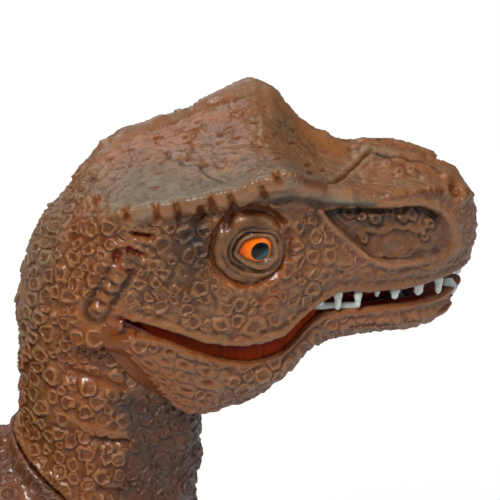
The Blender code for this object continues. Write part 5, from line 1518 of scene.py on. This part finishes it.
for side, sign in SIDES:
    flip = np.array([1, -sign, 1])
    inward = np.array([0, -sign * 0.9, 0])
    first = even_row(neck_row) * flip + inward * 0.6
    last = even_row(jaw_row) * flip + inward * 0.6
    ribs = rib_numbers[:columns] * 0.12
    fold = strip_piece(f"jaw_fold_{side}", first, last, inward * 0.25, ribs, FOLD_THICK)
    for name, channels in FOLD_LAYERS.items():
        colour_layer(fold.data, name, *channels)
    fold.data.materials.append(head_finish)
    way = Vector((last - first).mean(axis=0) * (1, 0, 1)) * MM
    centre = Vector((first + last).mean(axis=0) / 2 * (1, 0, 1)) * MM
    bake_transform(fold)

# Teeth: short rows moulded in the gums and painted by hand in white
tooth_finish, shader, place = new_finish("tooth_paint")
haze = speckle(place, 1.1)
grime = speckle(place, 0.5)
colour = haze.ease(0.35, 0.7).between(tint(214, 220, 214), tint(186, 196, 190))
feed((grime.ease(0.62, 0.8) * 0.5).between(colour, tint(150, 120, 96)), shader, "Base Color")
feed(0.26 + haze * 0.2, shader, "Roughness")
roughen(grime, shader, 0.4, 0.1)
settle(shader, {"Subsurface Weight": 0.1, "Subsurface Scale": 0.8 * MM})

# Teeth by photograph: column of the middle, top row, bottom row and width
UPPER_TEETH = [(319.5, 294, 305, 12), (338, 291, 308, 9), (358, 291, 306, 8), (377, 290, 296, 5.5),
               (395, 289, 298, 9.5), (418.5, 284, 294, 11), (438.5, 277, 292, 9), (457.5, 262, 273, 10)]
# The lower ones are stubs of the painted gum
LOWER_TEETH = [(326, 303.5, 307, 26), (346, 302.5, 309, 32), (448, 279, 293, 20)]
PIXEL_MM = PIXEL / MM
LOWEST_TOOTH = 1.2
TOOTH_DEEP = 0.6


def tooth_row(name, teeth, rows, pointing, inset, body, node):
    """Blunt hand-painted teeth on both sides, joined to one piece."""
    made = []
    for column, top, bottom, width in teeth:
        line = sight_line(column, (top + bottom) / 2)
        x_guess = (column - PHOTO_SIDE / 2) * PIXEL_MM
        for _ in range(4):
            out_y = np.interp(x_guess, rows[:, 0], rows[:, 1]) - inset
            spot = viewpoint + line * ((-out_y * MM - viewpoint.y) / line.y)
            x_guess = spot.x / MM - HEAD_X
        height = max((bottom - top) * PIXEL_MM / 0.866, LOWEST_TOOTH)
        half_wide = width * PIXEL_MM / 2
        for sign in (-1, 1):
            bpy.ops.mesh.primitive_uv_sphere_add(segments=16, ring_count=10, radius=1)
            tooth = bpy.context.object
            for vertex in tooth.data.vertices:
                share = (vertex.co.z * pointing + 1) / 2
                around = math.hypot(vertex.co.x, vertex.co.y) + 1e-9
                taper = (1.12 - 0.50 * share ** 1.3) * math.sqrt(max(1 - vertex.co.z ** 4, 0)) / around
                vertex.co.x *= half_wide * taper * (1 + 0.12 * math.sin(vertex.co.z * 5 + column))
                vertex.co.y *= TOOTH_DEEP * taper
                vertex.co.z *= height * 0.62
                vertex.co = vertex.co * MM + Vector((spot.x, -spot.y * sign, spot.z))
            tooth.data.shade_smooth()
            made.append(tooth)
    choose(*made)
    bpy.ops.object.join()
    row = bpy.context.object
    row.name = name
    row.location = (0, 0, 0)
    row.data.materials.clear()
    row.data.materials.append(tooth_finish)
    hang(row, body, node)


tooth_row("upper_tooth_row", UPPER_TEETH, LIP_ROWS, -1, 1.2, "head", "upper_teeth")
tooth_row("lower_tooth_row", LOWER_TEETH, EDGE_ROWS, 1, 1.8, "jaw", "lower_teeth")

# Tongue: a soft red strip on the floor of the mouth
tongue = Casting("tongue_flesh", "tongue", 0.25, sharp_deg=170)
tongue.soften(14, np.ones(len(tongue.points)))
groove = -0.35 * hump(tongue.points[:, 1], 0.7) * fade(tongue.normals[:, 2], 0.2, 0.8)
tongue.lift(groove + 0.05 * tongue.lumps(0.9, 5))
tongue_finish, shader, place = new_finish("tongue_red")
haze = speckle(place, 1.5)
feed(haze.ease(0.3, 0.7).between(tint(120, 20, 14), tint(158, 44, 30)), shader, "Base Color")
feed(0.28 + haze * 0.15, shader, "Roughness")
roughen(speckle(place, 0.4), shader, 0.5, 0.15)
tongue.finish(tongue_finish, "jaw", "mouth")

# Plugs, spools, screws and the jaw pin: inside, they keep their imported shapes
plug_finish, shader, place = new_finish("plug_plastic")
haze = speckle(place, 2.5, 4.0)
feed(haze.between((0.035, 0.035, 0.038, 1), (0.07, 0.07, 0.075, 1)), shader, "Base Color")
feed(0.42 + haze * 0.2, shader, "Roughness")
roughen(speckle(place, 0.3), shader, 0.25, 0.1)

steel_finish, shader, place = new_finish("screw_plated_steel")
haze = speckle(place, 0.8, 4.0)
feed(haze.between((0.42, 0.42, 0.44, 1), (0.62, 0.62, 0.64, 1)), shader, "Base Color")
feed(0.24 + haze * 0.2, shader, "Roughness")
settle(shader, {"Metallic": 1.0})

for node, piece in frame["nodes"].items():
    finish = None
    if "plug" in node or "spool" in node:
        finish = plug_finish
    if "screw" in node or "pin" in node:
        finish = steel_finish
    if finish is not None:
        for slot in piece.material_slots:
            slot.material = finish
